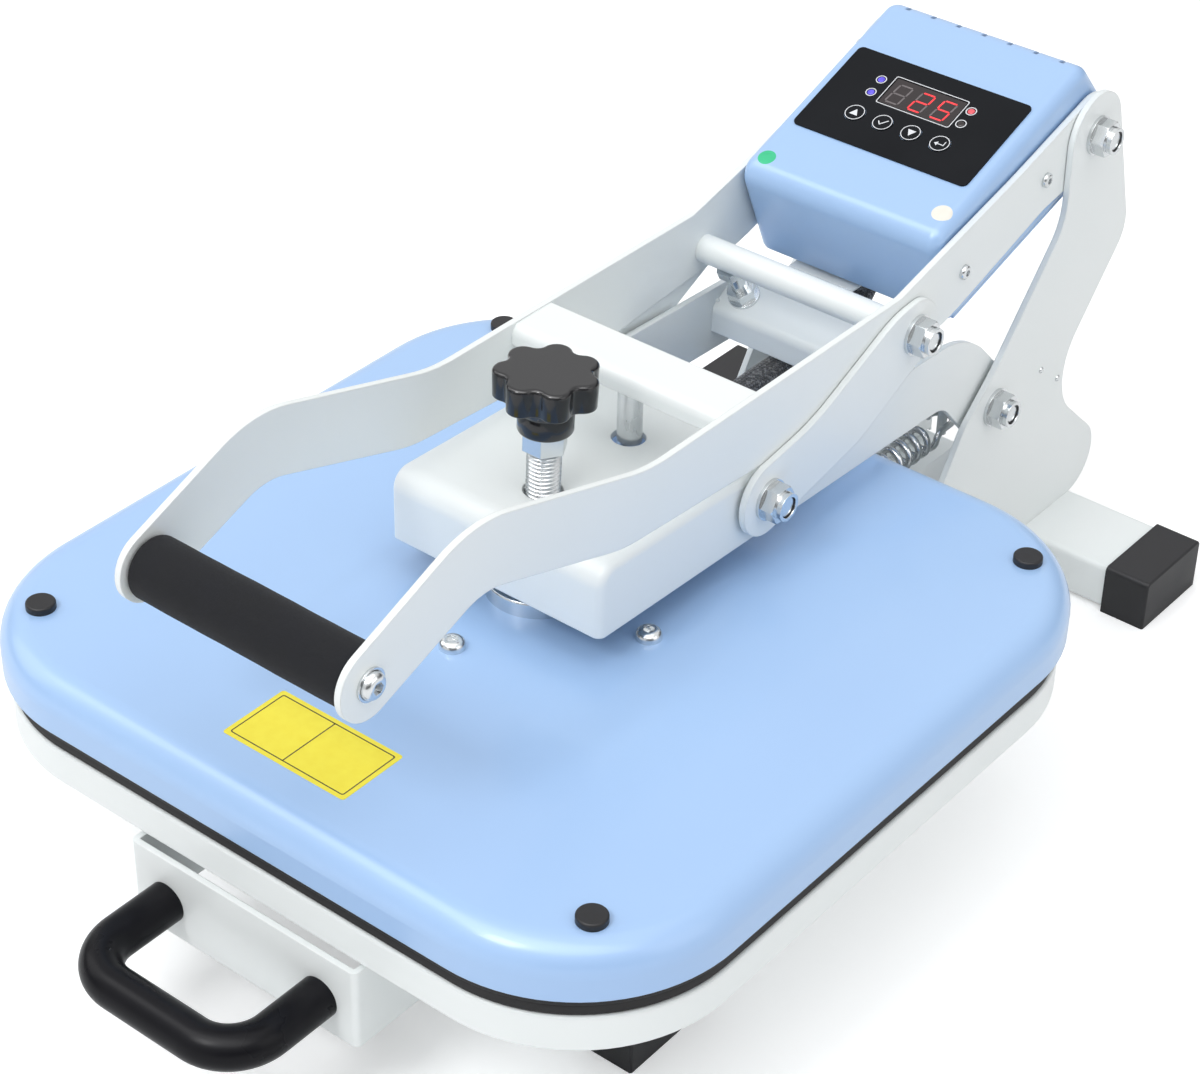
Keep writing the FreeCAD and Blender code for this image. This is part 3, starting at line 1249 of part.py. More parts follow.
# Assembly
def build_parts():
    screws_a = pivot_a_side()
    screws_d = pivot_d_side()
    tubes = ((FRONT_TUBE_X, FRONT_TUBE_Y), (REAR_TUBE_X, REAR_TUBE_Y))
    slide_outer = slide_member(SLIDE_OUT_X, SLIDE_OUT_X + 9.0, SLIDE_HIGH / 2)
    slide_middle = slide_member(SLIDE_OUT_X + 3.0, SLIDE_OUT_X + 10.5, SLIDE_HIGH / 2 - 2)
    slide_inner = slide_member(SLIDE_IN_X, SLIDE_IN_X - 7.5, SLIDE_HIGH / 2 - 4)
    return {
        "cross_tubes": group([cross_tube(x, y) for x, y in tubes]),
        "foot_caps": group([foot_cap(x, y, side) for x, y in tubes for side in (-1, 1)]),
        "base_rails": group(both_sides(base_rail())),
        "spring_web": spring_web(),
        "right_upright": upright(),
        "left_upright": mirror_x(upright()),
        "slide_outer_members": group(both_sides(slide_outer)),
        "slide_middle_members": group(both_sides(slide_middle)),
        "slide_inner_members": group(both_sides(slide_inner)),
        "drawer_tray": drawer_tray(),
        "bow_handle": bow_handle(),
        "drawer_screws": drawer_screws(),
        "lower_platen": lower_platen(),
        "silicone_pad": rounded_square(LOWER_HALF - 1, LOWER_ROUND - 1, LOWER_TOP, PAD_TOP),
        "heating_platen": heating_platen(),
        "heater_tube": swept(heater_path(), HEATER_ROD),
        "insulation_board": insulation_board(),
        "platen_cover": platen_cover(),
        "cover_spacers": cover_spacers(),
        "cover_plugs": cover_plugs(),
        "cover_screws": cover_screws(),
        "screw_boss": screw_boss(),
        "guide_pin": guide_pin(),
        "lead_grommet": lead_grommet(),
        "heater_lead": heater_lead(),
        "pressure_screw": pressure_screw(),
        "hex_collar": hex_collar(),
        "pressure_knob": pressure_knob(),
        "press_arm": press_arm(),
        "stop_plate": stop_plate(),
        "stop_bolt": stop_bolt(),
        "pivot_tube": pivot_tube(),
        "pressure_nut": pressure_nut(),
        "pivot_d_heads": group(both_sides(pivot_d_head())),
        "lift_springs": group(both_sides(lift_spring())),
        "right_handle_plate": handle_plate(),
        "left_handle_plate": mirror_x(handle_plate()),
        "handle_cross_plate": handle_cross_plate(),
        "cross_bar": cross_bar(),
        "grip_tube": grip_tube(),
        "handle_grip": handle_grip(),
        "handle_screws": handle_screws(),
        "pivot_c_bolt": through_bolt(PIVOT_C, FRAME_OUT),
        "pivot_b_bolt": through_bolt(PIVOT_B, FRAME_OUT),
        "pivot_a_bolts": group(screws_a + [mirror_x(piece) for piece in screws_a]),
        "link_plates": group(both_sides(link_plate())),
        "pivot_d_bolts": group(screws_d + [mirror_x(piece) for piece in screws_d]),
        "control_box_cover": box_cover(),
        "control_box_base": box_base(),
        "control_panel": control_panel(),
        "display_and_lamps": display_and_lamps(),
        "controller_board": controller_board(),
        "up_button": panel_button(BUTTON_X[0]),
        "ok_button": panel_button(BUTTON_X[1]),
        "down_button": panel_button(BUTTON_X[2]),
        "enter_button": panel_button(BUTTON_X[3]),
        "power_inlet": group([power_inlet(), rocker_frame()]),
        "power_rocker": power_rocker(),
        "timer_switch": timer_switch(),
        "lead_gland": lead_gland(),
    }


parts = build_parts()
print_spring_gap()
front = BOW_Y - BOW_ROD / 2
rear = BULGE[0] + BULGE[2]
shift = -(front + rear) / 2
print("shift along y", round(shift, 4))
os.makedirs("parts", exist_ok=True)
for name, shape in parts.items():
    shape.translate(vec(0, shift, 0))
    if not shape.isValid():
        print("not valid:", name)
    shape.exportStep("parts/" + name + ".step")
print(len(parts), "parts")
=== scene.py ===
import math
import bmesh
import bpy
from mathutils import Matrix, Vector
from mathutils.bvhtree import BVHTree


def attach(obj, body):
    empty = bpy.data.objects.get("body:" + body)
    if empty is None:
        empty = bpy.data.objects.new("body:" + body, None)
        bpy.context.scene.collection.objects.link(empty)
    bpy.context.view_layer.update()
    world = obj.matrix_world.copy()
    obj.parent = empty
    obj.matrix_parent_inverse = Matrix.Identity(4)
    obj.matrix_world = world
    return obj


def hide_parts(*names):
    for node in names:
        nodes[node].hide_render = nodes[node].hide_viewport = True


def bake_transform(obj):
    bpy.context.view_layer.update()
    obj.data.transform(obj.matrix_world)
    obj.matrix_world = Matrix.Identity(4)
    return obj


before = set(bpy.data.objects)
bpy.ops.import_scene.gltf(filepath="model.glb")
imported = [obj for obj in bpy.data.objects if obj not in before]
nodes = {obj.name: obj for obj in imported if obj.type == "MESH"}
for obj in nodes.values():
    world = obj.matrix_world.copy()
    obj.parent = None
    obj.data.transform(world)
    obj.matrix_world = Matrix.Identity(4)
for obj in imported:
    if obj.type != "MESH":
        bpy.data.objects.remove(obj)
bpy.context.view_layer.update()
scene = bpy.context.scene
pressAxisY = -63.8    # the press axis along Y in the model's frame, in millimetres


# A point given in millimetres from the press axis and the floor
def at(x, y, z):
    return Vector((x, y + pressAxisY, z)) / 1000


# Colours are written as they look on screen, 0 to 255
def paint(red, green, blue):
    linear = [((c / 255 + 0.055) / 1.055) ** 2.4 if c > 10 else c / 3294.6 for c in (red, green, blue)]
    return (*linear, 1.0)


cameraView = {
    "place": (0.6813, -0.8837, 0.9111),
    "right": (0.77616, 0.63029, 0.01763),
    "down": (0.37448, -0.43830, -0.81710),
    "ahead": (-0.50728, 0.64081, -0.57622),
    "lens": 88.955,
}


def buildCamera(values):
    data = bpy.data.cameras.new("camera")
    data.sensor_width = 36.0
    data.lens = values["lens"]
    data.clip_start, data.clip_end = 0.01, 50.0
    camera = bpy.data.objects.new("camera", data)
    scene.collection.objects.link(camera)
    rows = [Vector(values["right"]), -Vector(values["down"]), -Vector(values["ahead"])]
    camera.matrix_world = Matrix.Translation(values["place"]) @ Matrix(rows).transposed().to_4x4()
    scene.camera = camera


buildCamera(cameraView)
print("camera set")


# Node helpers: inputs go by name or number, and a socket is linked while a value is set
def addNode(tree, kind, inputs=None, **settings):
    node = tree.nodes.new(kind)
    for name, value in settings.items():
        setattr(node, name, value)
    feed(tree, node, inputs or {})
    return node


def feed(tree, node, inputs):
    for name, value in inputs.items():
        if isinstance(value, bpy.types.NodeSocket):
            tree.links.new(value, node.inputs[name])
        else:
            node.inputs[name].default_value = value


def calc(tree, operation, *values):
    return addNode(tree, "ShaderNodeMath", dict(enumerate(values)), operation=operation).outputs[0]


def spread(tree, value, low, high, toLow=0.0, toHigh=1.0):
    inputs = {"Value": value, "From Min": low, "From Max": high, "To Min": toLow, "To Max": toHigh}
    return addNode(tree, "ShaderNodeMapRange", inputs).outputs[0]


def mixed(tree, share, first, second):
    return addNode(tree, "ShaderNodeMix", {0: share, 6: first, 7: second}, data_type="RGBA").outputs[2]


def noise(tree, place, scale, detail, roughness=0.5):
    inputs = {"Vector": place, "Scale": scale, "Detail": detail, "Roughness": roughness}
    return addNode(tree, "ShaderNodeTexNoise", inputs).outputs["Fac"]


def joined(tree, x, y, z=0.0):
    return addNode(tree, "ShaderNodeCombineXYZ", {0: x, 1: y, 2: z}).outputs[0]


def newGroup(name, inputs, outputs):
    tree = bpy.data.node_groups.new(name, "ShaderNodeTree")
    for label, value in inputs.items():
        socket = tree.interface.new_socket(name=label, in_out="INPUT", socket_type="NodeSocketFloat")
        socket.default_value = value
    for label, kind in outputs.items():
        tree.interface.new_socket(name=label, in_out="OUTPUT", socket_type=kind)
    return tree, tree.nodes.new("NodeGroupInput").outputs, tree.nodes.new("NodeGroupOutput")


def placeGroup(tree, group, **values):
    node = tree.nodes.new("ShaderNodeGroup")
    node.node_tree = group
    feed(tree, node, values)
    return node.outputs


edgeTurn = {"from": 0.985, "to": 0.80, "samples": 6}    # cosines between the softened and the true normal
toneEnds = (0.3, 0.7)    # the part of a slow noise that a change of tone spans
reliefOutputs = {"Height": "NodeSocketFloat", "Tone": "NodeSocketFloat"}


# Rounded edges: a softened normal and a mask of where the surface turns
def buildEdgeGroup(values):
    outputs = {"Edge": "NodeSocketFloat", "Normal": "NodeSocketVector"}
    tree, entry, leave = newGroup("edgeRound", {"Radius": 0.0006}, outputs)
    inputs = {"Radius": entry["Radius"]}
    soft = addNode(tree, "ShaderNodeBevel", inputs, samples=values["samples"]).outputs[0]
    inputs = {0: soft, 1: addNode(tree, "ShaderNodeNewGeometry").outputs["Normal"]}
    turn = addNode(tree, "ShaderNodeVectorMath", inputs, operation="DOT_PRODUCT").outputs["Value"]
    feed(tree, leave, {"Edge": spread(tree, turn, values["from"], values["to"]), "Normal": soft})
    return tree


# Fine relief of a coated or cast surface, and a slow change of tone over it
def buildGrainGroup():
    tree, entry, leave = newGroup("fineGrain", {"Grain": 1200.0, "Patch": 14.0}, reliefOutputs)
    place = addNode(tree, "ShaderNodeTexCoord").outputs["Object"]
    fine = noise(tree, place, entry["Grain"], 2.0, 0.55)
    slow = noise(tree, place, entry["Patch"], 4.0)
    feed(tree, leave, {"Height": fine, "Tone": spread(tree, slow, *toneEnds)})
    return tree


# Lines left by rolling, turning or brushing, stretched along one axis
def buildLineGroup(cloudSize=45.0):
    inputs = {"Across": 900.0, "Along": 25.0, "Axis": 1.0}
    tree, entry, leave = newGroup("brushLines", inputs, reliefOutputs)
    place = addNode(tree, "ShaderNodeTexCoord").outputs["Object"]
    gap = calc(tree, "SUBTRACT", entry["Along"], entry["Across"])
    parts = []
    for number in range(3):
        same = calc(tree, "COMPARE", entry["Axis"], float(number), 0.4)
        parts.append(calc(tree, "MULTIPLY_ADD", same, gap, entry["Across"]))
    inputs = {0: place, 1: joined(tree, *parts)}
    spot = addNode(tree, "ShaderNodeVectorMath", inputs, operation="MULTIPLY").outputs[0]
    cloud = noise(tree, place, cloudSize, 3.0)
    feed(tree, leave, {"Height": noise(tree, spot, 1.0, 3.0), "Tone": spread(tree, cloud, *toneEnds)})
    return tree


# Two sets of strands that cross over and under, from the piece's own UV map
def buildBraidGroup():
    tree, entry, leave = newGroup("braid", {"Strands": 16.0, "Pitch": 420.0}, reliefOutputs)
    route = addNode(tree, "ShaderNodeUVMap", uv_map="route").outputs[0]
    spot = addNode(tree, "ShaderNodeSeparateXYZ", {0: route}).outputs
    around = calc(tree, "MULTIPLY", spot["X"], entry["Strands"])
    along = calc(tree, "MULTIPLY", spot["Y"], entry["Pitch"])
    strands = [calc(tree, "ADD", around, along), calc(tree, "SUBTRACT", around, along)]
    cells = [calc(tree, "FLOOR", strand) for strand in strands]
    over = calc(tree, "ABSOLUTE", calc(tree, "MODULO", calc(tree, "ADD", *cells), 2.0))
    waves = [calc(tree, "SINE", calc(tree, "MULTIPLY", strand, math.pi)) for strand in strands]
    upper, lower = [calc(tree, "ABSOLUTE", wave) for wave in waves]
    upper = calc(tree, "MULTIPLY", upper, over)
    lower = calc(tree, "MULTIPLY", lower, calc(tree, "SUBTRACT", 1.0, over))
    dye = addNode(tree, "ShaderNodeTexWhiteNoise", {"Vector": joined(tree, *cells)}).outputs["Value"]
    feed(tree, leave, {"Height": calc(tree, "ADD", upper, lower), "Tone": dye})
    return tree


edgeRound, fineGrain = buildEdgeGroup(edgeTurn), buildGrainGroup()
brushLines, braid = buildLineGroup(), buildBraidGroup()


def newMaterial(name):
    material = bpy.data.materials.new(name)
    material.use_nodes = True
    return material, material.node_tree, material.node_tree.nodes["Principled BSDF"]


def bumped(tree, height, depth, normal=None):
    inputs = {"Height": height, "Distance": depth, "Strength": 1.0}
    if normal:
        inputs["Normal"] = normal
    return addNode(tree, "ShaderNodeBump", inputs).outputs[0]


# Paint, plastic, rubber, foam and ink: fine relief and a slow change of tone. A look with a rim colour is
# made lighter at its edges, partly thin worn coat and partly painted highlight along the edges
def coated(name, look):
    material, tree, shader = newMaterial(name)
    edge = placeGroup(tree, edgeRound, Radius=look["edge"])
    grain = placeGroup(tree, fineGrain, Grain=look["grain"], Patch=look["patch"])
    tone = mixed(tree, grain["Tone"], look["colour"], look["shade"])
    if "rim" in look:
        # Edges lightened with the rim colour: partly wear, partly painted highlight
        tone = mixed(tree, calc(tree, "MULTIPLY", edge["Edge"], look["wearAndHighlight"]), tone, look["rim"])
    rough = spread(tree, grain["Tone"], 0.0, 1.0, *look["rough"])
    feed(tree, shader, {"Base Color": tone, "Roughness": rough,
                        "Normal": bumped(tree, grain["Height"], look["depth"], edge["Normal"])})
    feed(tree, shader, look["plain"])
    return material


# Plated or bare metal with rolling lines and a cloudy finish, and edges lightened with the rim colour:
# partly wear, partly painted glint
def barMetal(name, look):
    material, tree, shader = newMaterial(name)
    edge = placeGroup(tree, edgeRound, Radius=look["edge"])
    lines = placeGroup(tree, brushLines, Across=look["across"], Along=look["along"], Axis=look["axis"])
    tone = mixed(tree, lines["Tone"], look["colour"], look["cloud"])
    # Edges lightened with the rim colour: partly wear, partly painted glint
    tone = mixed(tree, calc(tree, "MULTIPLY", edge["Edge"], look["wearAndHighlight"]), tone, look["rim"])
    rough = spread(tree, lines["Tone"], 0.0, 1.0, *look["rough"])
    rough = calc(tree, "MULTIPLY_ADD", lines["Height"], look["streak"], rough)
    feed(tree, shader, {"Base Color": tone, "Roughness": rough, "Metallic": 1.0,
                        "Normal": bumped(tree, lines["Height"], look["depth"], edge["Normal"])})
    return material


# Lit segments and lamps
def glowing(name, look):
    material, tree, shader = newMaterial(name)
    grain = placeGroup(tree, fineGrain, Grain=look["grain"], Patch=look["patch"])
    feed(tree, shader, {"Base Color": mixed(tree, grain["Tone"], look["colour"], look["shade"]),
                        "Emission Color": mixed(tree, grain["Tone"], look["glow"], look["shade"]),
                        "Emission Strength": look["power"], "Roughness": look["rough"]})
    return material


# The lead's woven sleeve: dark strands mottled with lighter ones, and painted shade in the low places
# between strands
def wovenSleeve(name, look):
    material, tree, shader = newMaterial(name)
    weave = placeGroup(tree, braid, Strands=look["strands"], Pitch=look["pitch"])
    light = spread(tree, weave["Tone"], *look["lightShare"])
    strand = mixed(tree, light, look["dark"], look["light"])
    # The gap colour darkens the weave's low places: painted shade
    gapShade = spread(tree, weave["Height"], 0.0, look["gapShadeTo"])
    feed(tree, shader, {"Base Color": mixed(tree, gapShade, look["gap"], strand), "Sheen Weight": look["sheen"],
                        "Roughness": spread(tree, weave["Height"], 0.0, 1.0, *look["rough"]),
                        "Normal": bumped(tree, weave["Height"], look["depth"])})
    return material


glossLook = {"colour": paint(18, 18, 21), "shade": paint(22, 22, 26), "edge": 0.0005, "grain": 300.0,
             "patch": 30.0, "rough": (0.14, 0.20), "depth": 0.000004,
             "plain": {"Coat Weight": 0.25, "Coat Roughness": 0.05, "IOR": 1.48}}
inkLook = {"colour": paint(232, 234, 238), "shade": paint(222, 225, 230), "edge": 0.0001, "grain": 3000.0,
           "patch": 200.0, "rough": (0.40, 0.48), "depth": 0.000002, "plain": {"IOR": 1.45}}
coatedLooks = {
    # The rim colour and its share make edges lighter: partly thin worn coat, partly painted highlight
    "whiteSteel": {"colour": paint(238, 242, 242), "shade": paint(235, 240, 240),
                   "rim": paint(249, 251, 251), "wearAndHighlight": 0.8, "edge": 0.0009, "grain": 900.0, "patch": 9.0,
                   "rough": (0.34, 0.42), "depth": 0.00003,
                   "plain": {"Coat Weight": 0.1, "Coat Roughness": 0.3}},
    "bluePaint": {"colour": paint(166, 199, 239), "shade": paint(163, 196, 238), "rim": paint(182, 209, 243),
                  "wearAndHighlight": 0.5, "edge": 0.0007, "grain": 500.0, "patch": 6.0, "rough": (0.30, 0.36),
                  "depth": 0.00002, "plain": {"Coat Weight": 0.4, "Coat Roughness": 0.12}},
    "glossBlack": glossLook,
    "satinBlack": dict(glossLook, rough=(0.24, 0.31), grain=1400.0, depth=0.00001,
                       plain={"Specular IOR Level": 0.13}),
    "capPlastic": {"colour": paint(34, 34, 36), "shade": paint(40, 40, 43), "edge": 0.0006, "grain": 2200.0,
                   "patch": 40.0, "rough": (0.42, 0.50), "depth": 0.00003,
                   "plain": {"Specular IOR Level": 0.35}},
    "gripFoam": {"colour": paint(26, 27, 30), "shade": paint(33, 34, 38), "edge": 0.0008, "grain": 3200.0,
                 "patch": 60.0, "rough": (0.80, 0.92), "depth": 0.00018,
                 "plain": {"Specular IOR Level": 0.22, "Sheen Weight": 0.04, "Sheen Roughness": 0.5}},
    "blackRubber": {"colour": paint(26, 26, 28), "shade": paint(34, 33, 34), "edge": 0.0004, "grain": 1500.0,
                    "patch": 25.0, "rough": (0.62, 0.74), "depth": 0.00004, "plain": {"IOR": 1.45}},
    "nonStick": {"colour": paint(30, 30, 32), "shade": paint(38, 38, 40), "edge": 0.0004, "grain": 2600.0,
                 "patch": 18.0, "rough": (0.48, 0.58), "depth": 0.00002, "plain": {"IOR": 1.4}},
    "panelFilm": {"colour": paint(18, 20, 24), "shade": paint(22, 24, 28), "edge": 0.0003, "grain": 500.0,
                  "patch": 20.0, "rough": (0.30, 0.38), "depth": 0.000004,
                  "plain": {"Specular IOR Level": 0.1}},
    "windowGlass": {"colour": paint(38, 30, 32), "shade": paint(44, 36, 38), "edge": 0.0003, "grain": 200.0,
                    "patch": 90.0, "rough": (0.12, 0.18), "depth": 0.000002, "plain": {"IOR": 1.5}},
    "greenBoard": {"colour": paint(28, 92, 52), "shade": paint(24, 78, 46), "edge": 0.0003, "grain": 1600.0,
                   "patch": 120.0, "rough": (0.35, 0.45), "depth": 0.00003, "plain": {"Coat Weight": 0.3}},
    "mineralWool": {"colour": paint(214, 208, 190), "shade": paint(196, 188, 168), "edge": 0.0006,
                    "grain": 2600.0, "patch": 50.0, "rough": (0.85, 0.95), "depth": 0.0004,
                    "plain": {"IOR": 1.4}},
    "whiteInk": inkLook,
    "ghostInk": dict(inkLook, colour=paint(112, 106, 108), shade=paint(104, 98, 100)),
    "yellowLabel": dict(inkLook, colour=paint(246, 232, 70), shade=paint(242, 226, 64), rough=(0.34, 0.42)),
    "borderInk": dict(inkLook, colour=paint(70, 64, 40), shade=paint(78, 72, 46)),
    "greenDot": dict(inkLook, colour=paint(62, 196, 142), shade=paint(56, 188, 134)),
    "paperDot": dict(inkLook, colour=paint(240, 236, 226), shade=paint(234, 230, 220)),
}
# The rim colour and its share make edges lighter: partly worn plating, partly painted glint
zincLook = {"colour": paint(226, 229, 231), "cloud": paint(208, 211, 212), "rim": paint(244, 247, 249),
            "wearAndHighlight": 0.5, "edge": 0.0003, "across": 700.0, "along": 60.0, "axis": 0.0, "rough": (0.14, 0.22),
            "streak": 0.08, "depth": 0.000006}
metalLooks = {
    "zinc": zincLook,
    "railZinc": dict(zincLook, axis=1.0, rough=(0.22, 0.30)),
    "pinZinc": dict(zincLook, axis=2.0, colour=paint(222, 224, 226), cloud=paint(196, 199, 201),
                    rough=(0.16, 0.26)),
}
lampLook = {"colour": paint(70, 60, 160), "shade": paint(96, 84, 214), "glow": paint(84, 70, 220),
            "grain": 900.0, "patch": 400.0, "power": 0.5, "rough": 0.25}
glowLooks = {
    "redSegment": dict(lampLook, colour=paint(180, 30, 34), shade=paint(236, 60, 66),
                       glow=paint(226, 44, 52), power=0.85, rough=0.3),
    "violetLamp": lampLook,
    "emberLamp": dict(lampLook, colour=paint(170, 60, 70), shade=paint(204, 84, 92),
                      glow=paint(190, 60, 70)),
}
sleeveLooks = {
    # gap and its reach: painted shade in the low places of the weave
    "leadSleeve": {"strands": 24.0, "pitch": 560.0, "lightShare": (0.62, 0.72), "dark": paint(50, 51, 54),
                   "light": paint(112, 112, 114), "gap": paint(24, 24, 26), "gapShadeTo": 0.6,
                   "rough": (0.9, 0.6), "sheen": 0.3, "depth": 0.00025},
}
kinds = ((coated, coatedLooks), (barMetal, metalLooks), (glowing, glowLooks), (wovenSleeve, sleeveLooks))

finishes = {}
for build, looks in kinds:
    for name, look in looks.items():
        finishes[name] = build(name, look)
print("materials built:", len(finishes))

nodeFinish = {
    "whiteSteel": ("cross_tubes", "base_rails", "spring_web", "right_upright", "left_upright", "drawer_tray",
                   "lower_platen", "press_arm", "stop_plate", "pivot_tube", "right_handle_plate",
                   "left_handle_plate", "handle_cross_plate", "cross_bar", "link_plates"),
    "bluePaint": ("platen_cover", "control_box_cover", "control_box_base"),
    "zinc": ("drawer_screws", "cover_screws", "hex_collar", "stop_bolt", "pressure_nut", "pivot_d_heads",
             "handle_screws", "pivot_c_bolt", "pivot_b_bolt", "pivot_a_bolts", "pivot_d_bolts", "grip_tube",
             "cover_spacers", "screw_boss"),
    "railZinc": ("slide_outer_members", "slide_middle_members", "slide_inner_members", "heater_tube",
                 "lift_springs"),
    "pinZinc": ("guide_pin", "pressure_screw"),
    "glossBlack": ("pressure_knob",),
    "satinBlack": ("bow_handle",),
    "capPlastic": ("foot_caps", "cover_plugs", "power_inlet", "power_rocker", "timer_switch", "lead_gland"),
    "blackRubber": ("silicone_pad", "lead_grommet"),
    "nonStick": ("heating_platen",),
    "panelFilm": ("control_panel", "up_button", "ok_button", "down_button", "enter_button"),
    "windowGlass": ("display_and_lamps",),
    "greenBoard": ("controller_board",),
    "mineralWool": ("insulation_board",),
    "leadSleeve": ("heater_lead",),
    "gripFoam": ("handle_grip",),
}
for finish, names in nodeFinish.items():
    for name in names:
        mesh = nodes[name].data
        mesh.materials.clear()
        mesh.materials.append(finishes[finish])


# Meshes: faces go round between two rings of the same count
def strip(low, high, count):
    return [(low + j, low + k, high + k, high + j) for j, k in enumerate([*range(1, count), 0])]


# Rings of points joined into a skin, closed at both ends or looped back to the first ring
def skin(rings, closed=True, looped=False):
    count = len(rings[0])
    points = [point for ring in rings for point in ring]
    faces = []
    for i in range(len(rings) if looped else len(rings) - 1):
        faces += strip(i * count, (i + 1) % len(rings) * count, count)
    if closed and not looped:
        faces.append(tuple(range(count))[::-1])
        faces.append(tuple(range(len(points) - count, len(points))))
    return points, faces


def merged(parts):
    points, faces = [], []
    for partPoints, partFaces in parts:
        start = len(points)
        points += partPoints
        faces += [tuple(start + number for number in face) for face in partFaces]
    return points, faces


def circle(x, y, radius, count=48):
    turns = [2 * math.pi * j / count for j in range(count)]
    return [(x + radius * math.cos(turn), y + radius * math.sin(turn)) for turn in turns]


def roundedBox(x0, x1, y0, y1, radius, steps=6):
    left, right, low, high = x0 + radius, x1 - radius, y0 + radius, y1 - radius
    points = []
    for x, y, first in ((right, high, 0), (left, high, 90), (left, low, 180), (right, low, 270)):
        for j in range(steps + 1):
            turn = math.radians(first + 90 * j / steps)
            points.append((x + radius * math.cos(turn), y + radius * math.sin(turn)))
    return points


# A quarter turn in steps, as what its sine and its cosine leave of one
def quarter(steps):
    turns = [math.radians(90 * i / steps) for i in range(steps + 1)]
    return [(1 - math.sin(turn), 1 - math.cos(turn)) for turn in turns]


def addPiece(name, skinned, finish, body=None, sharp=40.0, mapping=None):
    points, faces = skinned
    mesh = bpy.data.meshes.new(name)
    mesh.from_pydata([tuple(point) for point in points], [], faces)
    mesh.validate()
    if mapping:
        layer = mesh.uv_layers.new(name="route")
        for loop in mesh.loops:
            layer.data[loop.index].uv = mapping[loop.vertex_index]
    shaped = bmesh.new()
    shaped.from_mesh(mesh)
    bmesh.ops.recalc_face_normals(shaped, faces=shaped.faces)
    shaped.to_mesh(mesh)
    shaped.free()
    mesh.shade_smooth()
    mesh.set_sharp_from_angle(angle=math.radians(sharp))
    mesh.materials.append(finishes[finish])
    piece = bpy.data.objects.new(name, mesh)
    scene.collection.objects.link(piece)
    if body:
        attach(piece, body)
    return piece


# A round tube along points, its section carried along without twisting, and its points' UV values
def tubeRings(path, radius, sides):
    rings, mapping = [], []
    ahead = (path[1] - path[0]).normalized()
    side = ahead.orthogonal().normalized()
    travelled = 0.0
    for i, point in enumerate(path):
        before, after = path[max(i - 1, 0)], path[min(i + 1, len(path) - 1)]
        way = (after - before).normalized()
        side = (ahead.rotation_difference(way) @ side).normalized()
        ahead = way
        up = way.cross(side)
        travelled += (point - before).length
        rings.append([point + side * across + up * rise for across, rise in circle(0.0, 0.0, radius, sides)])
        mapping += [(j / sides, travelled) for j in range(sides)]
    return rings, mapping


# The heater lead, from the cover's boot over the pivot tube up to the gland under the box. It is cut at
# shares of its length into parts
leadRoute = {
    "points": ((-20.0, 150.0, 142.0), (-20.0, 184.0, 144.0), (-20.0, 222.0, 142.3), (-21.0, 258.8, 142.8),
               (-22.0, 275.1, 148.7), (-23.0, 286.9, 161.4), (-24.0, 290.76, 178.33),
               (-24.0, 285.85, 194.92)),
    "wide": 0.013,
    "sides": 40,
    "smooth": 24,
    "cuts": (0.31, 0.76),
    "parts": (("leadBoot", "upper_platen", "press_arm", (-20.0, 160.0, 142.0), (-20.0, 200.0, 142.0)),
              ("leadFront", "press_arm", "base", (-20.0, 228.0, 142.0), (-20.0, 262.0, 142.0)),
              ("leadRear", "base", "handle", (-23.5, 290.5, 172.0), (-24.0, 287.0, 191.0))),
}


def routeLine(points, smooth):
    data = bpy.data.curves.new("leadLine", "CURVE")
    data.dimensions = "3D"
    data.resolution_u = smooth
    spline = data.splines.new("NURBS")
    spline.points.add(len(points) - 1)
    for knot, point in zip(spline.points, points):
        knot.co = (*at(*point), 1.0)
    spline.order_u = 3
    spline.use_endpoint_u = True
    holder = bpy.data.objects.new("leadLine", data)
    scene.collection.objects.link(holder)
    bpy.context.view_layer.update()
    mesh = bpy.data.meshes.new_from_object(holder)
    line = [vertex.co.copy() for vertex in mesh.vertices]
    bpy.data.objects.remove(holder)
    bpy.data.meshes.remove(mesh)
    return line


def lengthOf(line):
    return sum((b - a).length for a, b in zip(line, line[1:]))


def buildLead(values):
    line = routeLine(values["points"], values["smooth"])
    whole = lengthOf(line)
    shares = [lengthOf(line[:i + 1]) / whole for i in range(len(line))]
    cuts = [0] + [sum(share < cut for share in shares) for cut in values["cuts"]] + [len(line) - 1]
    pieces, paths = {}, {}
    for (name, first, second, start, end), begin, stop in zip(values["parts"], cuts, cuts[1:]):
        path = line[begin:stop + 1]
        rings, mapping = tubeRings(path, values["wide"] / 2, values["sides"])
        piece = addPiece(name, skin(rings), "leadSleeve", sharp=60.0, mapping=mapping)
        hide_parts("heater_lead")
        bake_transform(piece)
        pieces[name], paths[name] = piece, path
    print("lead length", round(whole, 4))


buildLead(leadRoute)

# Lift springs: five open turns with a hook at each end, stretched between the web's pins and the arm's pegs
springForm = {"x": 36.0, "z": 100.0, "start": 216.0, "turns": 5, "pitch": 8.0, "mean": 6.35, "wire": 3.5,
              "bend": 4.0, "frontHook": 210.05, "rearHook": 268.35, "steps": 30, "sides": 14, "held": 3.0,
              "coilWay": (0, 0.12, 1), "hookWay": (0, 1, 0), "hookSteps": 16, "hookPast": 2, "bendSteps": 8,
              "bendReach": 1.1}


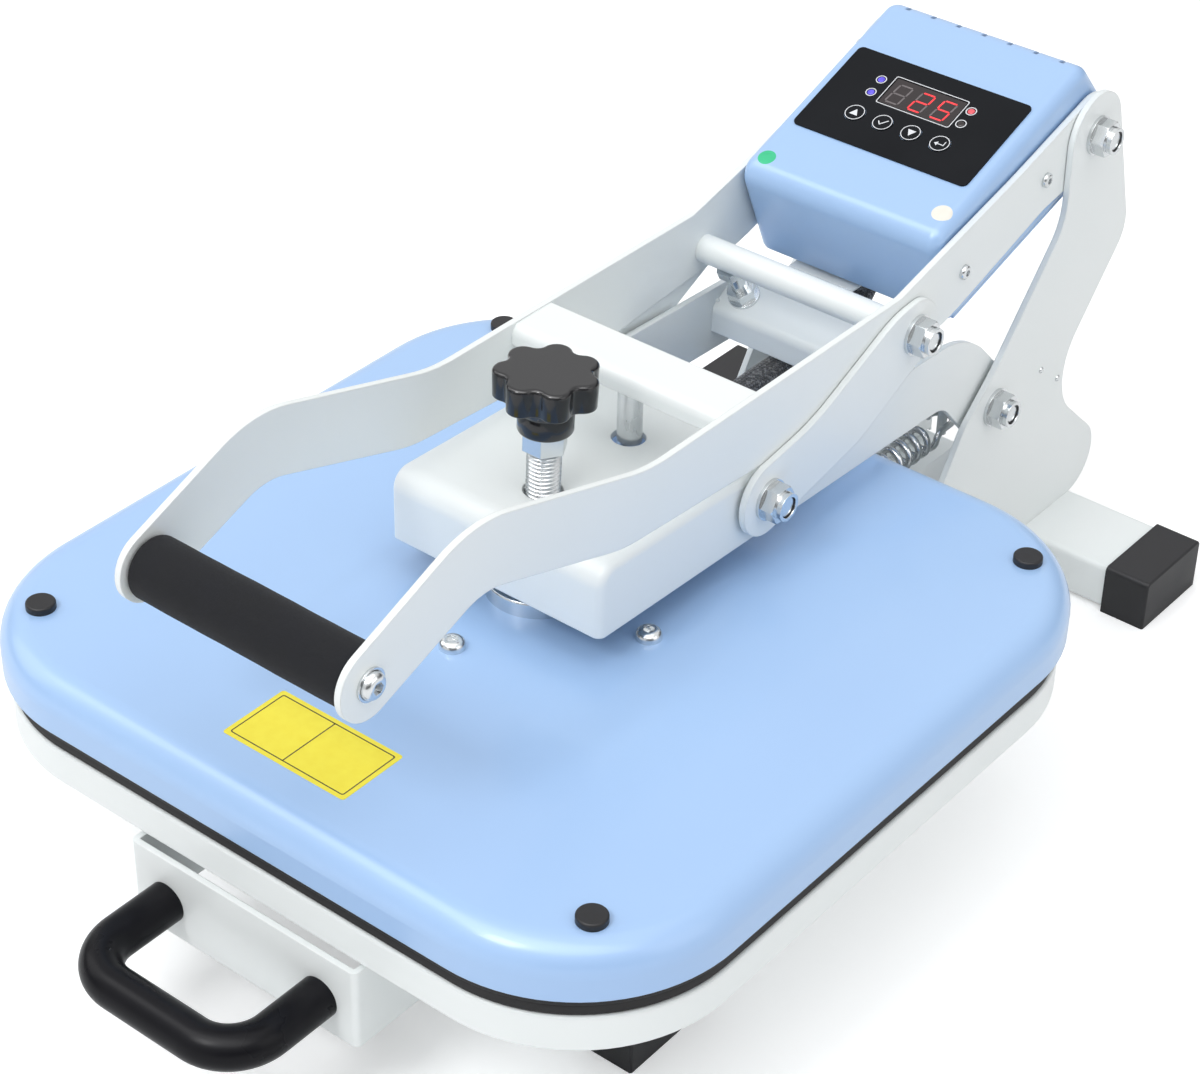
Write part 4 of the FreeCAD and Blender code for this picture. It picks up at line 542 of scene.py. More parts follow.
def springLine(form):
    mean, x, z = form["mean"], form["x"], form["z"]
    coil = []
    for i in range(form["turns"] * form["steps"] + 1):
        part = i / form["steps"]
        turn = 2 * math.pi * part
        place = (x + mean * math.cos(turn), form["start"] + form["pitch"] * part, z + mean * math.sin(turn))
        coil.append(Vector(place))
    front = hookLine(form, form["frontHook"], z - form["bend"], -1)[::-1]
    rear = hookLine(form, form["rearHook"], z + form["bend"], 1)
    into = bendLine(form, front[-1], form["hookWay"], coil[0], form["coilWay"])
    out = bendLine(form, coil[-1], form["coilWay"], rear[0], form["hookWay"])
    return [at(*point) for point in front + into[1:-1] + coil + out[1:-1] + rear]


# Half a turn and a little more, flat round a pin or a peg
def hookLine(form, y, z, way):
    line = []
    for i in range(form["hookSteps"] + form["hookPast"] + 1):
        turn = math.pi * i / form["hookSteps"]
        across, along = form["mean"] * math.cos(turn), form["mean"] * math.sin(turn)
        line.append(Vector((form["x"] + across, y + way * along, z)))
    return line


# A smooth bend from one point to another that leaves and arrives along two given ways
def bendLine(form, start, way, end, endWay):
    reach = (end - start).length * form["bendReach"]
    first, second = Vector(way).normalized() * reach, Vector(endWay).normalized() * reach
    points = []
    for i in range(form["bendSteps"] + 1):
        t = i / form["bendSteps"]
        points.append(start * (2 * t**3 - 3 * t**2 + 1) + first * (t**3 - 2 * t**2 + t)
                      + end * (3 * t**2 - 2 * t**3) + second * (t**3 - t**2))
    return points


def buildSprings(form):
    line = springLine(form)
    for name, way in (("springRight", 1), ("springLeft", -1)):
        path = [Vector((way * point.x, point.y, point.z)) for point in line]
        rings = tubeRings(path, form["wire"] / 2000, form["sides"])[0]
        spring = addPiece(name, skin(rings), "pinZinc")
        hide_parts("lift_springs")
        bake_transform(spring)


buildSprings(springForm)

screwAxis = {"tilt": math.radians(2.5), "armTop": 184.4}
screwLean = Matrix.Rotation(-screwAxis["tilt"], 3, "X")


# A point round the pressure screw's leaning axis, which crosses the press axis at the arm's top
def onScrew(x, y, rise, low):
    foot = Vector((0, (low - screwAxis["armTop"]) * math.tan(screwAxis["tilt"]), low))
    return at(*(foot + screwLean @ Vector((x, y, rise))))


# Pressure screw: a real thread in place of the plain rod
threadForm = {"radius": 7.8, "depth": 1.15, "pitch": 2.0, "low": 137.0, "high": 235.2, "rows": 8,
              "sides": 48, "crest": 0.12, "flank": 0.76}


def buildThread(form):
    rings = []
    long = (form["high"] - form["low"]) / math.cos(screwAxis["tilt"])
    count = int(long / form["pitch"] * form["rows"])
    for i in range(count + 1):
        rise = long * i / count
        ring = []
        for j, (x, y) in enumerate(circle(0.0, 0.0, 1.0, form["sides"])):
            wave = abs(2 * ((rise / form["pitch"] - j / form["sides"]) % 1.0) - 1)
            cut = form["depth"] * min(max((wave - form["crest"]) / form["flank"], 0.0), 1.0)
            radius = form["radius"] - cut
            ring.append(onScrew(radius * x, radius * y, rise, form["low"]))
        rings.append(ring)
    thread = addPiece("screwThread", skin(rings), "pinZinc", "pressure_screw", sharp=50.0)
    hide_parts("pressure_screw")


buildThread(threadForm)

# Star knob with seven round lobes, softly rounded over the top edge. The hub's profile holds differences
# from its radius and heights from the star's underside
knobForm = {"lobes": 7, "lobe": 7.0, "reach": 16.75, "hollow": 4.27, "hollowReach": 23.7, "meet": 65.88,
            "lobeSteps": 8, "hollowSteps": 5, "low": 231.2, "high": 244.8, "topRound": 1.9, "topSteps": 7,
            "lowRound": 0.8, "lowSteps": 4, "draft": 0.35, "flatRings": (0.985, 0.9, 0.5), "hub": 12.5,
            "hubSides": 64, "hubProfile": ((-4.3, -15.9), (-1.0, -15.9), (-0.3, -15.6), (0.0, -14.9),
                                           (0.0, -6.2), (-0.12, -6.0), (0.05, -5.8), (0.1, 0.5))}


def compass(turn):
    return Vector((math.cos(turn), math.sin(turn)))


# Points of the star's outline, each with the way out
def knobOutline(form):
    points = []
    meet, half = math.radians(form["meet"]), math.radians(form["meet"] - 180 / form["lobes"])
    for i in range(form["lobes"]):
        aim = 2 * math.pi * i / form["lobes"] - math.pi / 2
        for j in range(2 * form["lobeSteps"] + 1):
            outward = compass(aim + meet * (j / form["lobeSteps"] - 1))
            points.append((compass(aim) * form["reach"] + outward * form["lobe"], outward))
        between = aim + math.pi / form["lobes"]
        for j in range(1, 2 * form["hollowSteps"]):
            inward = compass(between + math.pi - half * (j / form["hollowSteps"] - 1))
            points.append((compass(between) * form["hollowReach"] + inward * form["hollow"], -inward))
    return points


# The star's two flat sides are closed with rings that shrink to the middle
def knobStar(form):
    outline, tall = knobOutline(form), form["high"] - form["low"]
    lower, upper = form["lowRound"], form["topRound"]
    sections = [(form["draft"] + lower * a, lower * b) for a, b in quarter(form["lowSteps"])]
    sections += [(upper * b, tall - upper * a) for a, b in quarter(form["topSteps"])]
    rings = []
    for less, rise in sections:
        rings.append([onScrew(*(point - out * less), rise, form["low"]) for point, out in outline])
    points, faces = skin(rings, closed=False)
    count = len(outline)
    for base in (0, len(points) - count):
        ring = points[base:base + count]
        middle = sum(ring, Vector()) / count
        for share in form["flatRings"]:
            faces += strip(base, len(points), count)
            base = len(points)
            points += [middle + (point - middle) * share for point in ring]
        faces += [(base + j, base + (j + 1) % count, len(points)) for j in range(count)]
        points.append(middle)
    return points, faces


def buildKnob(form):
    rings = []
    for wider, rise in form["hubProfile"]:
        ring = circle(0.0, 0.0, form["hub"] + wider, form["hubSides"])
        rings.append([onScrew(x, y, rise, form["low"]) for x, y in ring])
    whole = merged([knobStar(form), skin(rings)])
    knob = addPiece("starKnob", whole, "glossBlack", "pressure_screw", sharp=55.0)
    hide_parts("pressure_knob")


buildKnob(knobForm)

# Foam grip: a soft tube, pressed in a little by the handle plates and not quite even. Each of its wobbles
# has a height, a rate along the grip and one round it
gripForm = {"y": -176.0, "z": 213.0, "half": 57.7, "radius": 14.25, "core": 9.6, "edge": 2.2, "edgeSteps": 6,
            "sides": 96, "rows": 70, "inset": 0.18, "slow": (0.05, 0.11, 2.0), "quick": (0.03, 0.31, 3.0)}


def buildGrip(form):
    half, core, edge = form["half"], form["core"], form["edge"]
    low = edge - half
    rounded = [(edge * a - half, form["radius"] - edge * b) for a, b in quarter(form["edgeSteps"])]
    stations = rounded[::-1]
    stations += [(low - 2 * low * i / form["rows"], form["radius"]) for i in range(1, form["rows"])]
    stations += [(-x, radius) for x, radius in rounded]
    stations += [(half, core), (-half, core)]
    rings = []
    for x, radius in stations:
        ring = []
        for j in range(form["sides"]):
            turn = 2 * math.pi * j / form["sides"]
            reach = radius
            if radius > core + 1:
                high, along, around = form["slow"]
                reach += high * math.sin(x * along + around * math.sin(turn)) - form["inset"]
                high, along, around = form["quick"]
                reach += high * math.sin(x * along - around * turn)
            ring.append(at(x, form["y"] + reach * math.cos(turn), form["z"] + reach * math.sin(turn)))
        rings.append(ring)
    grip = addPiece("foamGrip", skin(rings, looped=True), "gripFoam", "handle")
    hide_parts("handle_grip")


buildGrip(gripForm)

# Silicone pad: a soft sheet with rounded edges on the lower platen
padForm = {"half": 189.0, "corner": 77.5, "low": 97.2, "high": 103.7, "edge": 1.6, "edgeSteps": 5,
           "steps": 24, "wave": 0.12, "waveX": 0.11, "waveY": 0.07, "flatRings": (4.0, 30.0)}


def buildPad(form):
    edge, low, high = form["edge"], form["low"], form["high"]
    levels = [(edge * a, low + edge * b) for a, b in quarter(form["edgeSteps"])]
    levels += [(inset, low + high - z) for inset, z in levels[::-1]]
    levels += [(edge + inward, high) for inward in form["flatRings"]]
    rings = []
    for inset, z in levels:
        reach = form["half"] - inset
        ring = []
        for x, y in roundedBox(-reach, reach, -reach, reach, form["corner"] - inset, form["steps"]):
            wave = 0.5 + 0.5 * math.sin(form["waveX"] * x + form["waveY"] * y)
            less = form["wave"] * wave if inset == 0.0 else 0.0
            ring.append(at(x - math.copysign(less, x), y - math.copysign(less, y), z))
        rings.append(ring)
    pad = addPiece("siliconePad", skin(rings), "blackRubber", "drawer", sharp=50.0)
    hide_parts("silicone_pad")


buildPad(padForm)
print("soft and wound pieces built")

# Control panel: everything is placed across the panel, up along its slope and by its height above the box
slope = math.radians(19.6)
panelStart = (246.5, 249.2)
printGap = 0.01    # how far a printed shape lies above what is under it


def onPanel(x, along, lift):
    y = panelStart[0] + along * math.cos(slope) - lift * math.sin(slope)
    z = panelStart[1] + along * math.sin(slope) + lift * math.cos(slope)
    return at(x, y, z)


# Thin printed shapes: each is an outline, or an outer and an inner one of the same length
def printed(name, shapes, lift, finish, body, place=onPanel, thick=0.05):
    parts = []
    for shape in shapes:
        loops = shape if isinstance(shape[0], list) else [shape]
        under = [[place(x, y, lift) for x, y in loop] for loop in loops]
        over = [[place(x, y, lift + thick) for x, y in loop] for loop in loops[::-1]]
        parts.append(skin(under + over, looped=len(loops) == 2))
    return addPiece(name, merged(parts), finish, body, sharp=30.0)


def ringShape(x, along, radius, wide):
    return [circle(x, along, radius), circle(x, along, radius - wide)]


def inset(box, gap):
    x0, x1, a0, a1 = box
    return x0 + gap, x1 - gap, a0 + gap, a1 - gap


def frameShape(box, radius, wide, tighter=0.6):
    return [roundedBox(*box, radius), roundedBox(*inset(box, wide), radius - wide * tighter)]


def strokeShape(x0, a0, x1, a1, wide):
    long = math.hypot(x1 - x0, a1 - a0)
    sx, sa = (a0 - a1) / long * wide / 2, (x1 - x0) / long * wide / 2
    return [(x0 + sx, a0 + sa), (x0 - sx, a0 - sa), (x1 - sx, a1 - sa), (x1 + sx, a1 + sa)]


# A button's symbol is of strokes, each from a point to a point and with a width, and of filled shapes
panelPrint = {
    "panelTop": 0.8, "buttonTop": 1.1, "windowTop": 0.6, "buttonAlong": 18.9, "ring": (4.95, 0.42),
    "buttons": {
        "up_button": (-25.6, (), (((-2.3, -1.7), (2.3, -1.7), (0.0, 2.3)),)),
        "ok_button": (-9.5, ((-2.3, 0.2, -0.6, -1.8, 0.55), (-0.75, -1.75, 2.4, 2.0, 0.55)), ()),
        "down_button": (6.8, (), (((-2.3, 1.7), (0.0, -2.3), (2.3, 1.7)),)),
        "enter_button": (23.4, ((2.4, 2.0, 2.4, -0.6, 0.5), (2.65, -0.6, -1.2, -0.6, 0.5)),
                         (((-2.8, -0.6), (-0.9, -2.0), (-0.9, 0.8)),)),
    },
    "lamps": {"lampUpperLeft": (-27.0, 43.8, "violetLamp"), "lampLowerLeft": (-26.7, 34.3, "violetLamp"),
              "lampUpperRight": (24.9, 44.0, "emberLamp"), "lampLowerRight": (25.1, 34.7, "windowGlass")},
    "lampRing": (2.75, 0.5),
    "window": (-20.2, 20.2, 30.4, 48.4), "frameGap": 0.9, "frame": (1.2, 0.45), "windowGap": 0.1,
    "windowCorner": 0.4, "windowFoot": 0.03,
}


def buildPanel(form):
    up = form["buttonAlong"]
    for name, (x, strokes, fills) in form["buttons"].items():
        shapes = [ringShape(x, up, *form["ring"])]
        shapes += [strokeShape(x + x0, up + a0, x + x1, up + a1, wide) for x0, a0, x1, a1, wide in strokes]
        shapes += [[(x + px, up + pa) for px, pa in fill] for fill in fills]
        title = name.replace("_button", "Mark")
        printed(title, shapes, form["buttonTop"] + printGap, "whiteInk", name)
    marks = [frameShape(inset(form["window"], -form["frameGap"]), *form["frame"])]
    marks += [ringShape(x, along, *form["lampRing"]) for x, along, finish in form["lamps"].values()]
    printed("panelMarks", marks, form["panelTop"] + printGap, "whiteInk", "handle")


buildPanel(panelPrint)

# Seven-segment figures, leaning a little: the first is dark and the others read 25
digitForm = {"middles": (-13.2, -0.2, 12.5), "low": 32.4, "high": 44.9, "wide": 7.2, "bar": 0.95,
             "gap": 0.24, "lean": 0.10, "lit": ("", "abged", "afgcd")}


def segmentShapes(form, middle):
    low, high, half, bar, gap = form["low"], form["high"], form["wide"] / 2, form["bar"] / 2, form["gap"]
    centre = (low + high) / 2
    ends = {"a": (-half, high, half, high), "g": (-half, centre, half, centre), "d": (-half, low, half, low),
            "f": (-half, centre, -half, high), "b": (half, centre, half, high),
            "e": (-half, low, -half, centre), "c": (half, low, half, centre)}
    shapes = {}
    for letter, (x0, a0, x1, a1) in ends.items():
        long = math.hypot(x1 - x0, a1 - a0)
        ux, ua = (x1 - x0) / long, (a1 - a0) / long
        near, far = gap + bar, long - gap - bar
        corners = []
        for step, side in ((gap, 0), (near, 1), (far, 1), (long - gap, 0), (far, -1), (near, -1)):
            x, along = x0 + ux * step - ua * side * bar, a0 + ua * step + ux * side * bar
            corners.append((middle + x + form["lean"] * (along - centre), along))
        shapes[letter] = corners
    return shapes


def buildDigits(form):
    dark, bright = [], []
    for middle, lit in zip(form["middles"], form["lit"]):
        for letter, shape in segmentShapes(form, middle).items():
            (bright if letter in lit else dark).append(shape)
    top = panelPrint["windowTop"]
    printed("digitsDark", dark, top + printGap, "ghostInk", "handle")
    printed("digitsLit", bright, top + 2 * printGap, "redSegment", "handle")


buildDigits(digitForm)

# Domed lamp lenses and the display's window, in place of the plain solids
lensForm = {"radius": 1.8, "foot": 0.05, "base": 0.75, "rise": 0.45, "sides": 28, "rows": 6, "cap": 84.0}


def dome(x, along, form):
    sections = [(form["radius"], form["foot"])]
    for i in range(form["rows"] + 1):
        turn = math.radians(form["cap"] * i / form["rows"])
        sections.append((form["radius"] * math.cos(turn), form["base"] + form["rise"] * math.sin(turn)))
    rings = [(circle(x, along, radius, form["sides"]), lift) for radius, lift in sections]
    return skin([[onPanel(px, pa, lift) for px, pa in ring] for ring, lift in rings])


def buildLenses(form):
    foot = form["windowFoot"]
    outline = roundedBox(*inset(form["window"], form["windowGap"]), form["windowCorner"])
    window = printed("displayWindow", [outline], foot, "windowGlass", "handle",
                     thick=form["windowTop"] - foot)
    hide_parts("display_and_lamps")
    for name, (x, along, finish) in form["lamps"].items():
        addPiece(name, dome(x, along, lensForm), finish, "handle")


buildLenses(panelPrint)
print("panel built")

# Stickers lie on the surface under them: a bare yellow plate on the cover, two plain dots on the box's nose
label = {"plate": (-34.25, 34.25, -165.75, -129.25), "corner": 1.5, "coverTop": 133.5, "thick": 0.09,
         "border": 2.2, "line": 0.6, "lineCorner": 1.2, "lineLift": 0.105, "lineThick": 0.02, "split": -2.0}
dots = {"places": (("dotGreen", -47.3, 223.3, 4.5, "greenDot"), ("dotWhite", 49.3, 229.1, 5.0, "paperDot")),
        "rings": 7, "shrink": 6.4, "sides": 40, "top": 0.00012, "foot": 0.00002, "castFrom": 300.0,
        "castLift": 0.02}


def onCover(x, y, lift):
    return at(x, y, label["coverTop"] + lift)


def buildLabel(form):
    outline = roundedBox(*form["plate"], form["corner"])
    printed("labelPlate", [outline], printGap, "yellowLabel", "upper_platen", onCover,
            form["thick"])
    inner = inset(form["plate"], form["border"])
    line = frameShape(inner, form["lineCorner"], form["line"])
    split = strokeShape(form["split"], inner[2], form["split"], inner[3], form["line"])
    printed("labelBorder", [line, split], form["lineLift"], "borderInk", "upper_platen",
            onCover, form["lineThick"])


# A dot follows the box's curved face: its rings are cast onto it, and it has no face underneath
def buildDots(form):
    box = nodes["control_box_cover"].data
    tree = BVHTree.FromPolygons([v.co for v in box.vertices], [tuple(p.vertices) for p in box.polygons])
    for name, dotX, dotY, radius, finish in form["places"]:
        spot, normal = tree.ray_cast(at(dotX, dotY, form["castFrom"]), Vector((0, 0, -1)))[:2]
        side = Vector((1, 0, 0))
        up = normal.cross(side).normalized()
        rings = []
        for i in range(form["rings"]):
            reach = radius * (1 - i / form["shrink"]) / 1000
            ring = []
            for across, rise in circle(0.0, 0.0, reach, form["sides"]):
                start = spot + normal * form["castLift"] + side * across + up * rise
                hit = tree.ray_cast(start, -normal)[0]
                ring.append(hit + normal * (form["top"] if i else form["foot"]))
            rings.append(ring)
        points, faces = skin(rings)
        addPiece(name, (points, faces[:-2] + [faces[-1]]), finish, "handle", sharp=60.0)


buildLabel(label)
buildDots(dots)


# Geometry Nodes: a flattened ball on each point, turned to a given way, then made real and given its finish
def startTree(name, inputs):
    tree = bpy.data.node_groups.new(name, "GeometryNodeTree")
    sockets = tree.interface
    sockets.new_socket(name="Geometry", in_out="INPUT", socket_type="NodeSocketGeometry")
    for label, value in inputs.items():
        sockets.new_socket(name=label, in_out="INPUT", socket_type="NodeSocketFloat").default_value = value
    sockets.new_socket(name="Material", in_out="INPUT", socket_type="NodeSocketMaterial")
    sockets.new_socket(name="Geometry", in_out="OUTPUT", socket_type="NodeSocketGeometry")
    return tree, tree.nodes.new("NodeGroupInput").outputs, tree.nodes.new("NodeGroupOutput")


def endTree(tree, entry, leave, points, way, ball, scale, size=(1.0, 1.0, 1.0)):
    sphere = addNode(tree, "GeometryNodeMeshUVSphere", ball).outputs["Mesh"]
    flat = addNode(tree, "GeometryNodeTransform", {"Geometry": sphere, "Scale": scale}).outputs[0]
    turn = addNode(tree, "FunctionNodeAlignRotationToVector", {"Vector": way}, axis="Z").outputs[0]
    inputs = {"Points": points, "Instance": flat, "Rotation": turn, "Scale": size}
    placed = addNode(tree, "GeometryNodeInstanceOnPoints", inputs).outputs[0]
    whole = addNode(tree, "GeometryNodeRealizeInstances", {"Geometry": placed}).outputs[0]
    inputs = {"Geometry": whole, "Material": entry["Material"]}
    feed(tree, leave, {"Geometry": addNode(tree, "GeometryNodeSetMaterial", inputs).outputs[0]})
    return tree


def buildRivetTree(segments=20, rings=12):
    tree, entry, leave = startTree("rivets", {"Radius": 0.0016, "Height": 0.0009})
    ball = {"Segments": segments, "Rings": rings, "Radius": entry["Radius"]}
    scale = joined(tree, 1.0, 1.0, calc(tree, "DIVIDE", entry["Height"], entry["Radius"]))
    way = addNode(tree, "GeometryNodeInputNormal").outputs[0]
    return endTree(tree, entry, leave, entry["Geometry"], way, ball, scale)


# A weld: overlapping flattened drops along the mesh's edges
def buildWeldTree(segments=10, rings=7, scale=(0.85, 0.85, 0.62), seed=5):
    tree, entry, leave = startTree("welds", {"Width": 0.0035, "Step": 0.0016, "Uneven": 0.18})
    line = addNode(tree, "GeometryNodeMeshToCurve", {"Mesh": entry["Geometry"]}).outputs[0]
    inputs = {"Curve": line, "Length": entry["Step"]}
    spaced = addNode(tree, "GeometryNodeResampleCurve", inputs, mode="LENGTH").outputs[0]
    ball = {"Segments": segments, "Rings": rings, "Radius": calc(tree, "MULTIPLY", entry["Width"], 0.5)}
    inputs = {2: calc(tree, "SUBTRACT", 1.0, entry["Uneven"]), 3: 1.0, "Seed": seed}
    size = addNode(tree, "FunctionNodeRandomValue", inputs, data_type="FLOAT").outputs[1]
    way = addNode(tree, "GeometryNodeInputTangent").outputs[0]
    return endTree(tree, entry, leave, spaced, way, ball, scale, size)


# Runs a tree on a seed mesh and keeps the result as a plain mesh on a body
def grow(name, tree, points, edges, faces, values, body):
    mesh = bpy.data.meshes.new(name + "Seed")
    mesh.from_pydata([tuple(point) for point in points], edges, faces)
    seed = bpy.data.objects.new(name + "Seed", mesh)
    scene.collection.objects.link(seed)
    modifier = seed.modifiers.new("grow", "NODES")
    modifier.node_group = tree
    for item in tree.interface.items_tree:
        if item.item_type == "SOCKET" and item.in_out == "INPUT" and item.name in values:
            modifier[item.identifier] = values[item.name]
    bpy.context.view_layer.update()
    grown = bpy.data.meshes.new_from_object(seed.evaluated_get(bpy.context.evaluated_depsgraph_get()))
    bpy.data.objects.remove(seed)
    grown.shade_smooth()
    piece = bpy.data.objects.new(name, grown)
    scene.collection.objects.link(piece)
    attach(piece, body)


# Two rivets on the outside of each upright, each grown on a tiny triangle that faces out
rivets = {"x": 65.0, "places": ((313.2, 123.7), (331.0, 110.5)), "seed": 0.02,
          "values": {"Radius": 0.0018, "Height": 0.0012, "Material": finishes["zinc"]}}


def buildRivets(form):
    size = form["seed"]
    parts = []
    for side in (-1, 1):
        for y, z in form["places"]:
            corners = ((y - size, z - size), (y + size, z - size), (y, z + size))
            parts.append(([at(side * form["x"], cy, cz) for cy, cz in corners], [(0, 1, 2)[::side]]))
    points, faces = merged(parts)
    grow("uprightRivets", buildRivetTree(), points, [], faces, form["values"], "base")


# Welds, as lines from point to point on the right side. Each has its mirror image on the left
weldRuns = {
    "base": (((61.5, 313.0, 26.8), (61.5, 352.0, 26.8)), ((24.5, 207.2, 66.8), (48.5, 207.2, 66.8)),
             ((61.4, 206.5, 68.0), (61.4, 206.5, 88.0)), ((25.0, 361.4, 26.9), (48.0, 361.4, 26.9)),
             ((25.0, -104.0, 26.9), (48.0, -104.0, 26.9))),
    "handle": (((57.9, 51.5, 219.0), (57.9, 73.5, 219.0)),),
    "press_arm": (((56.2, 200.6, 153.5), (56.2, 200.6, 168.0)),),
}
weldValues = {"Width": 0.0036, "Step": 0.0015, "Uneven": 0.22, "Material": finishes["whiteSteel"]}


def buildWelds(runs, values):
    tree = buildWeldTree()
    for body, lines in runs.items():
        points = [at(side * x, y, z) for line in lines for side in (1, -1) for x, y, z in line]
        edges = [(i, i + 1) for i in range(0, len(points), 2)]
        grow("welds_" + body, tree, points, edges, [], values, body)


buildRivets(rivets)
buildWelds(weldRuns, weldValues)
print("rivets and welds built")

# Pins of the mains inlet and the mark on the power rocker, placed on the box's rear face
rearLow, rearMid = (334.0, 212.3), (359.0, 256.5)
rearLong = math.hypot(rearMid[0] - rearLow[0], rearMid[1] - rearLow[1])
rearWay = ((rearMid[0] - rearLow[0]) / rearLong, (rearMid[1] - rearLow[1]) / rearLong)
inletPins = {"x": -24.0, "places": ((-7.0, 1.8), (0.0, -2.4), (7.0, 1.8)), "half": (1.0, 2.0), "corner": 0.3,
             "steps": 3, "levels": ((-3.9, 0.0), (1.6, 0.0), (2.6, 0.45))}
rockerMark = {"stroke": (21.0, -2.0, 21.0, 2.0, 0.7), "top": 1.2}


def onRear(x, along, out):
    y = (rearLow[0] + rearMid[0]) / 2 + rearWay[0] * along + rearWay[1] * out
    z = (rearLow[1] + rearMid[1]) / 2 + rearWay[1] * along - rearWay[0] * out
    return at(x, y, z)


def buildInlet(form):
    wide, tall = form["half"]
    pins = []
    for dx, along in form["places"]:
        x = form["x"] + dx
        rings = []
        for out, trim in form["levels"]:
            box = inset((x - wide, x + wide, along - tall, along + tall), trim)
            rings.append([onRear(px, pa, out) for px, pa in roundedBox(*box, form["corner"], form["steps"])])
        pins.append(skin(rings))
    addPiece("inletPins", merged(pins), "pinZinc", "handle")


buildInlet(inletPins)
printed("rockerMark", [strokeShape(*rockerMark["stroke"])], rockerMark["top"] + printGap, "whiteInk",
        "power_rocker", onRear)

# Timer switch: its bracket is painted sheet and its body is black, from the two solids of the plain switch.
# They are told apart by the height of their tops, in metres
switchForm = {"split": 0.17905, "bevel": 0.0002, "segments": 2, "weld": 0.000001, "flat": 0.02,
              "parts": (("switchBracket", True, "whiteSteel", "white_steel"),
                        ("switchBody", False, "capPlastic", "cap_plastic"))}


def buildSwitch(form):
    for name, above, finish, slot in form["parts"]:
        shaped = bmesh.new()
        shaped.from_mesh(nodes["timer_switch"].data)
        bmesh.ops.remove_doubles(shaped, verts=shaped.verts, dist=form["weld"])
        others = [vert for vert in shaped.verts if (islandTop(vert) > form["split"]) != above]
        bmesh.ops.delete(shaped, geom=others, context="VERTS")
        flat = [edge for edge in shaped.edges if edge.calc_face_angle(0.0) < form["flat"]]
        bmesh.ops.dissolve_edges(shaped, edges=flat, use_verts=True)
        bmesh.ops.bevel(shaped, geom=shaped.edges[:], offset=form["bevel"], segments=form["segments"],
                        affect="EDGES", profile=0.5)
        shaped.verts.index_update()
        points = [vert.co.copy() for vert in shaped.verts]
        faces = [tuple(vert.index for vert in face.verts) for face in shaped.faces]
        shaped.free()
        piece = addPiece(name, (points, faces), finish, "handle")
        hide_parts("timer_switch")


# The highest point of all that a vertex is joined to
def islandTop(vert):
    seen, queue = {vert}, [vert]
    while queue:
        for edge in queue.pop().link_edges:
            for other in edge.verts:
                if other not in seen:
                    seen.add(other)
                    queue.append(other)
    return max(other.co.z for other in seen)


buildSwitch(switchForm)

# Dark nylon rings that show round the bolt ends in the lock nuts
nylonRings = {"x": 75.1, "inner": 4.6, "outer": 4.95, "thick": 0.3,
              "ends": {"nylonA": ("base", 341.0, 245.0), "nylonB": ("base", 270.5, 122.5),
                       "nylonC": ("handle", 190.5, 201.2), "nylonD": ("links", 79.0, 167.3)}}


def buildNylon(form):
    near, far, inner, outer = form["x"], form["x"] + form["thick"], form["inner"], form["outer"]
    for name, (body, y, z) in form["ends"].items():
        rounds = []
        for side in (-1, 1):
            sections = ((near, outer), (far, outer), (far, inner), (near, inner))
            rings = [[at(side * x, *place) for place in circle(y, z, radius)] for x, radius in sections]
            rounds.append(skin(rings, looped=True))
        addPiece(name, merged(rounds), "capPlastic", body)


buildNylon(nylonRings)
print("small fittings built")

# Studio: pale floor, soft lamps, a white background for the camera, and a dimmer, uneven surround that only
# shows as reflections
studio = {"half": 4.0, "lift": 0.3,
          "plain": {"Base Color": paint(246, 247, 248), "Roughness": 0.9, "Specular IOR Level": 0.1,
                    "Emission Color": (1, 1, 1, 1)}}
glow = {"even": 0.29, "above": 0.66}
surround = {"dim": 0.12, "side": 0.75, "top": 1.0, "sectors": 3.0, "turned": 0.6, "soft": 0.25,
            "lowEdge": 0.25, "highEdge": 0.6, "band": 3.4, "bandLow": 0.68, "bandHigh": 0.76,
            "bandFrom": -0.05, "bandTo": -0.2}
lamps = (
    {"name": "overhead", "place": (0.3, -0.3, 2.6), "aim": (0.0, 0.0, 0.1), "size": 2.4, "power": 12.6},
    {"name": "rightCard", "place": (2.5, 0.2, 1.3), "aim": (0.0, 0.0, 0.1), "size": 1.6, "power": 6.5},
    {"name": "leftCard", "place": (-2.3, -0.9, 1.5), "aim": (0.0, 0.0, 0.1), "size": 1.6, "power": 10.6},
    {"name": "frontHigh", "place": (-0.2, -1.9, 2.2), "aim": (0.0, 0.0, 0.15), "size": 0.8, "power": 21.0},
)


def buildFloor(values):
    half = values["half"]
    corners = [(-half, -half, 0), (half, -half, 0), (half, half, 0), (-half, half, 0)]
    mesh = bpy.data.meshes.new("floor")
    mesh.from_pydata(corners, [], [(0, 1, 2, 3)])
    floor = bpy.data.objects.new("floor", mesh)
    scene.collection.objects.link(floor)
    material, tree, shader = newMaterial("floorPaper")
    seen = addNode(tree, "ShaderNodeLightPath").outputs["Is Camera Ray"]
    feed(tree, shader, {"Emission Strength": calc(tree, "MULTIPLY", seen, values["lift"])})
    feed(tree, shader, values["plain"])
    mesh.materials.append(material)


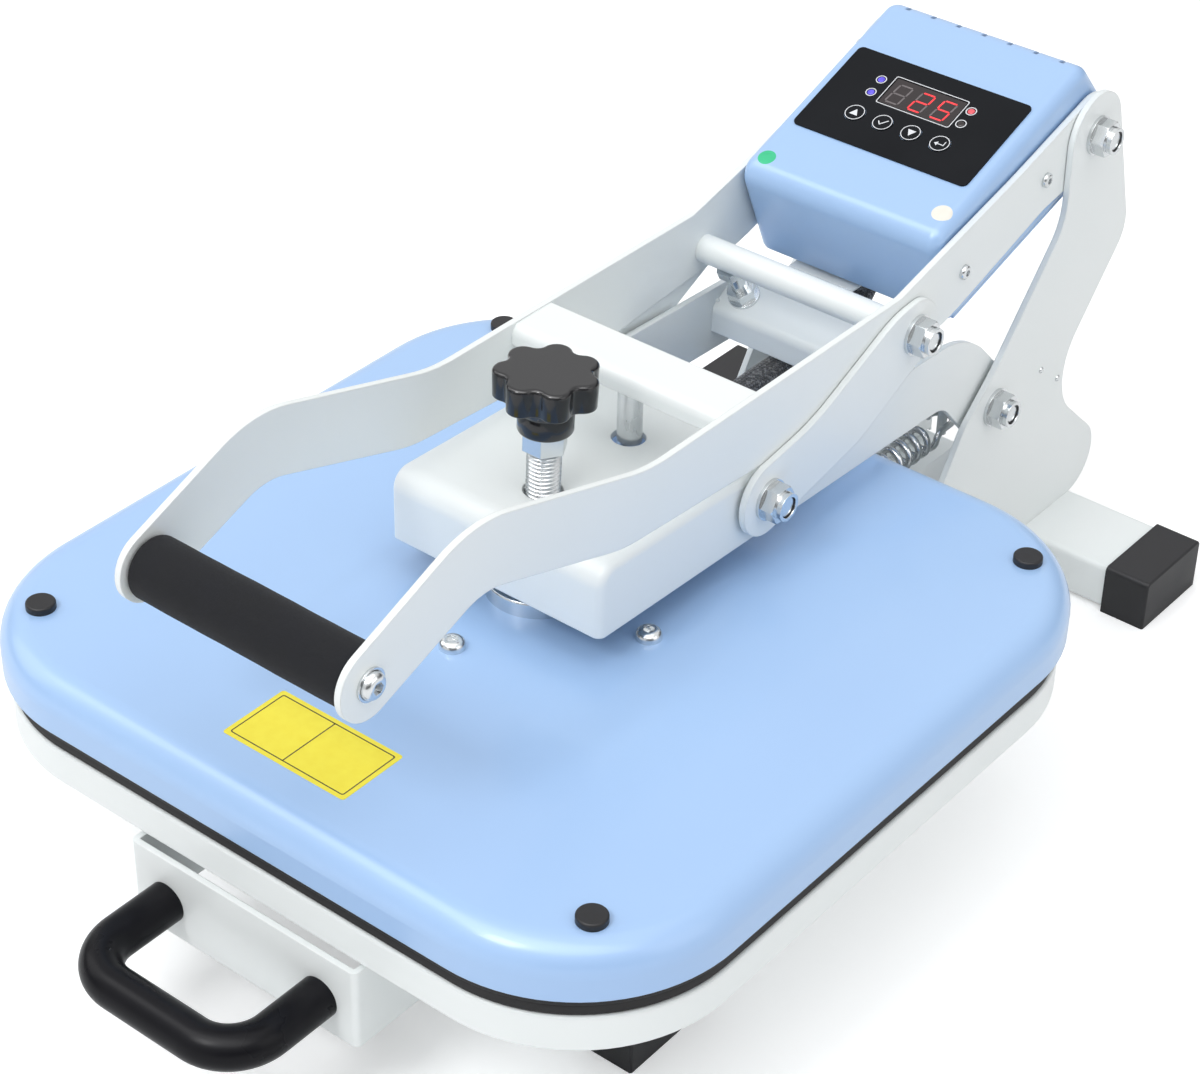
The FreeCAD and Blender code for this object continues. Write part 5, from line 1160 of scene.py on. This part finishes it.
def chosen(tree, share, first, second):
    return addNode(tree, "ShaderNodeMix", {0: share, 2: first, 3: second}).outputs[0]


# White to the camera; sectors of light and dark near the horizon, a bright ceiling and a band in front in
# reflections; an even glow for everything else
def buildWorld(spill, around):
    world = bpy.data.worlds.new("studio")
    scene.world = world
    world.use_nodes = True
    tree = world.node_tree
    place = addNode(tree, "ShaderNodeTexCoord").outputs["Generated"]
    way = addNode(tree, "ShaderNodeSeparateXYZ", {0: place}).outputs
    angle = calc(tree, "ARCTAN2", way["Y"], way["X"])
    bearing = calc(tree, "MULTIPLY_ADD", angle, around["sectors"], around["turned"])
    soft = around["soft"]
    sector = spread(tree, calc(tree, "SINE", bearing), -soft, soft, around["dim"], around["side"])
    rise = spread(tree, way["Z"], around["lowEdge"], around["highEdge"])
    side = calc(tree, "MULTIPLY", sector, calc(tree, "SUBTRACT", 1.0, rise))
    shown = calc(tree, "ADD", side, calc(tree, "MULTIPLY", rise, around["top"]))
    band = spread(tree, way["Z"], around["bandLow"], around["bandHigh"], 0.0, around["band"])
    front = spread(tree, way["Y"], around["bandFrom"], around["bandTo"])
    shown = calc(tree, "ADD", shown, calc(tree, "MULTIPLY", band, front))
    even = calc(tree, "MULTIPLY_ADD", calc(tree, "MAXIMUM", way["Z"], 0.0), spill["above"], spill["even"])
    path = addNode(tree, "ShaderNodeLightPath").outputs
    strength = chosen(tree, path["Is Camera Ray"], chosen(tree, path["Is Glossy Ray"], even, shown), 1.0)
    feed(tree, tree.nodes["Background"], {"Color": (1, 1, 1, 1), "Strength": strength})


def buildLamps(lights):
    for light in lights:
        data = bpy.data.lights.new(light["name"], "AREA")
        data.shape = "SQUARE"
        data.size = light["size"]
        data.energy = light["power"]
        lamp = bpy.data.objects.new(light["name"], data)
        scene.collection.objects.link(lamp)
        place = Vector(light["place"])
        aim = (place - Vector(light["aim"])).to_track_quat("Z", "Y")
        lamp.matrix_world = Matrix.Translation(place) @ aim.to_matrix().to_4x4()


buildFloor(studio)
buildWorld(glow, surround)
buildLamps(lamps)
scene.view_settings.view_transform = "Standard"
print("studio built")
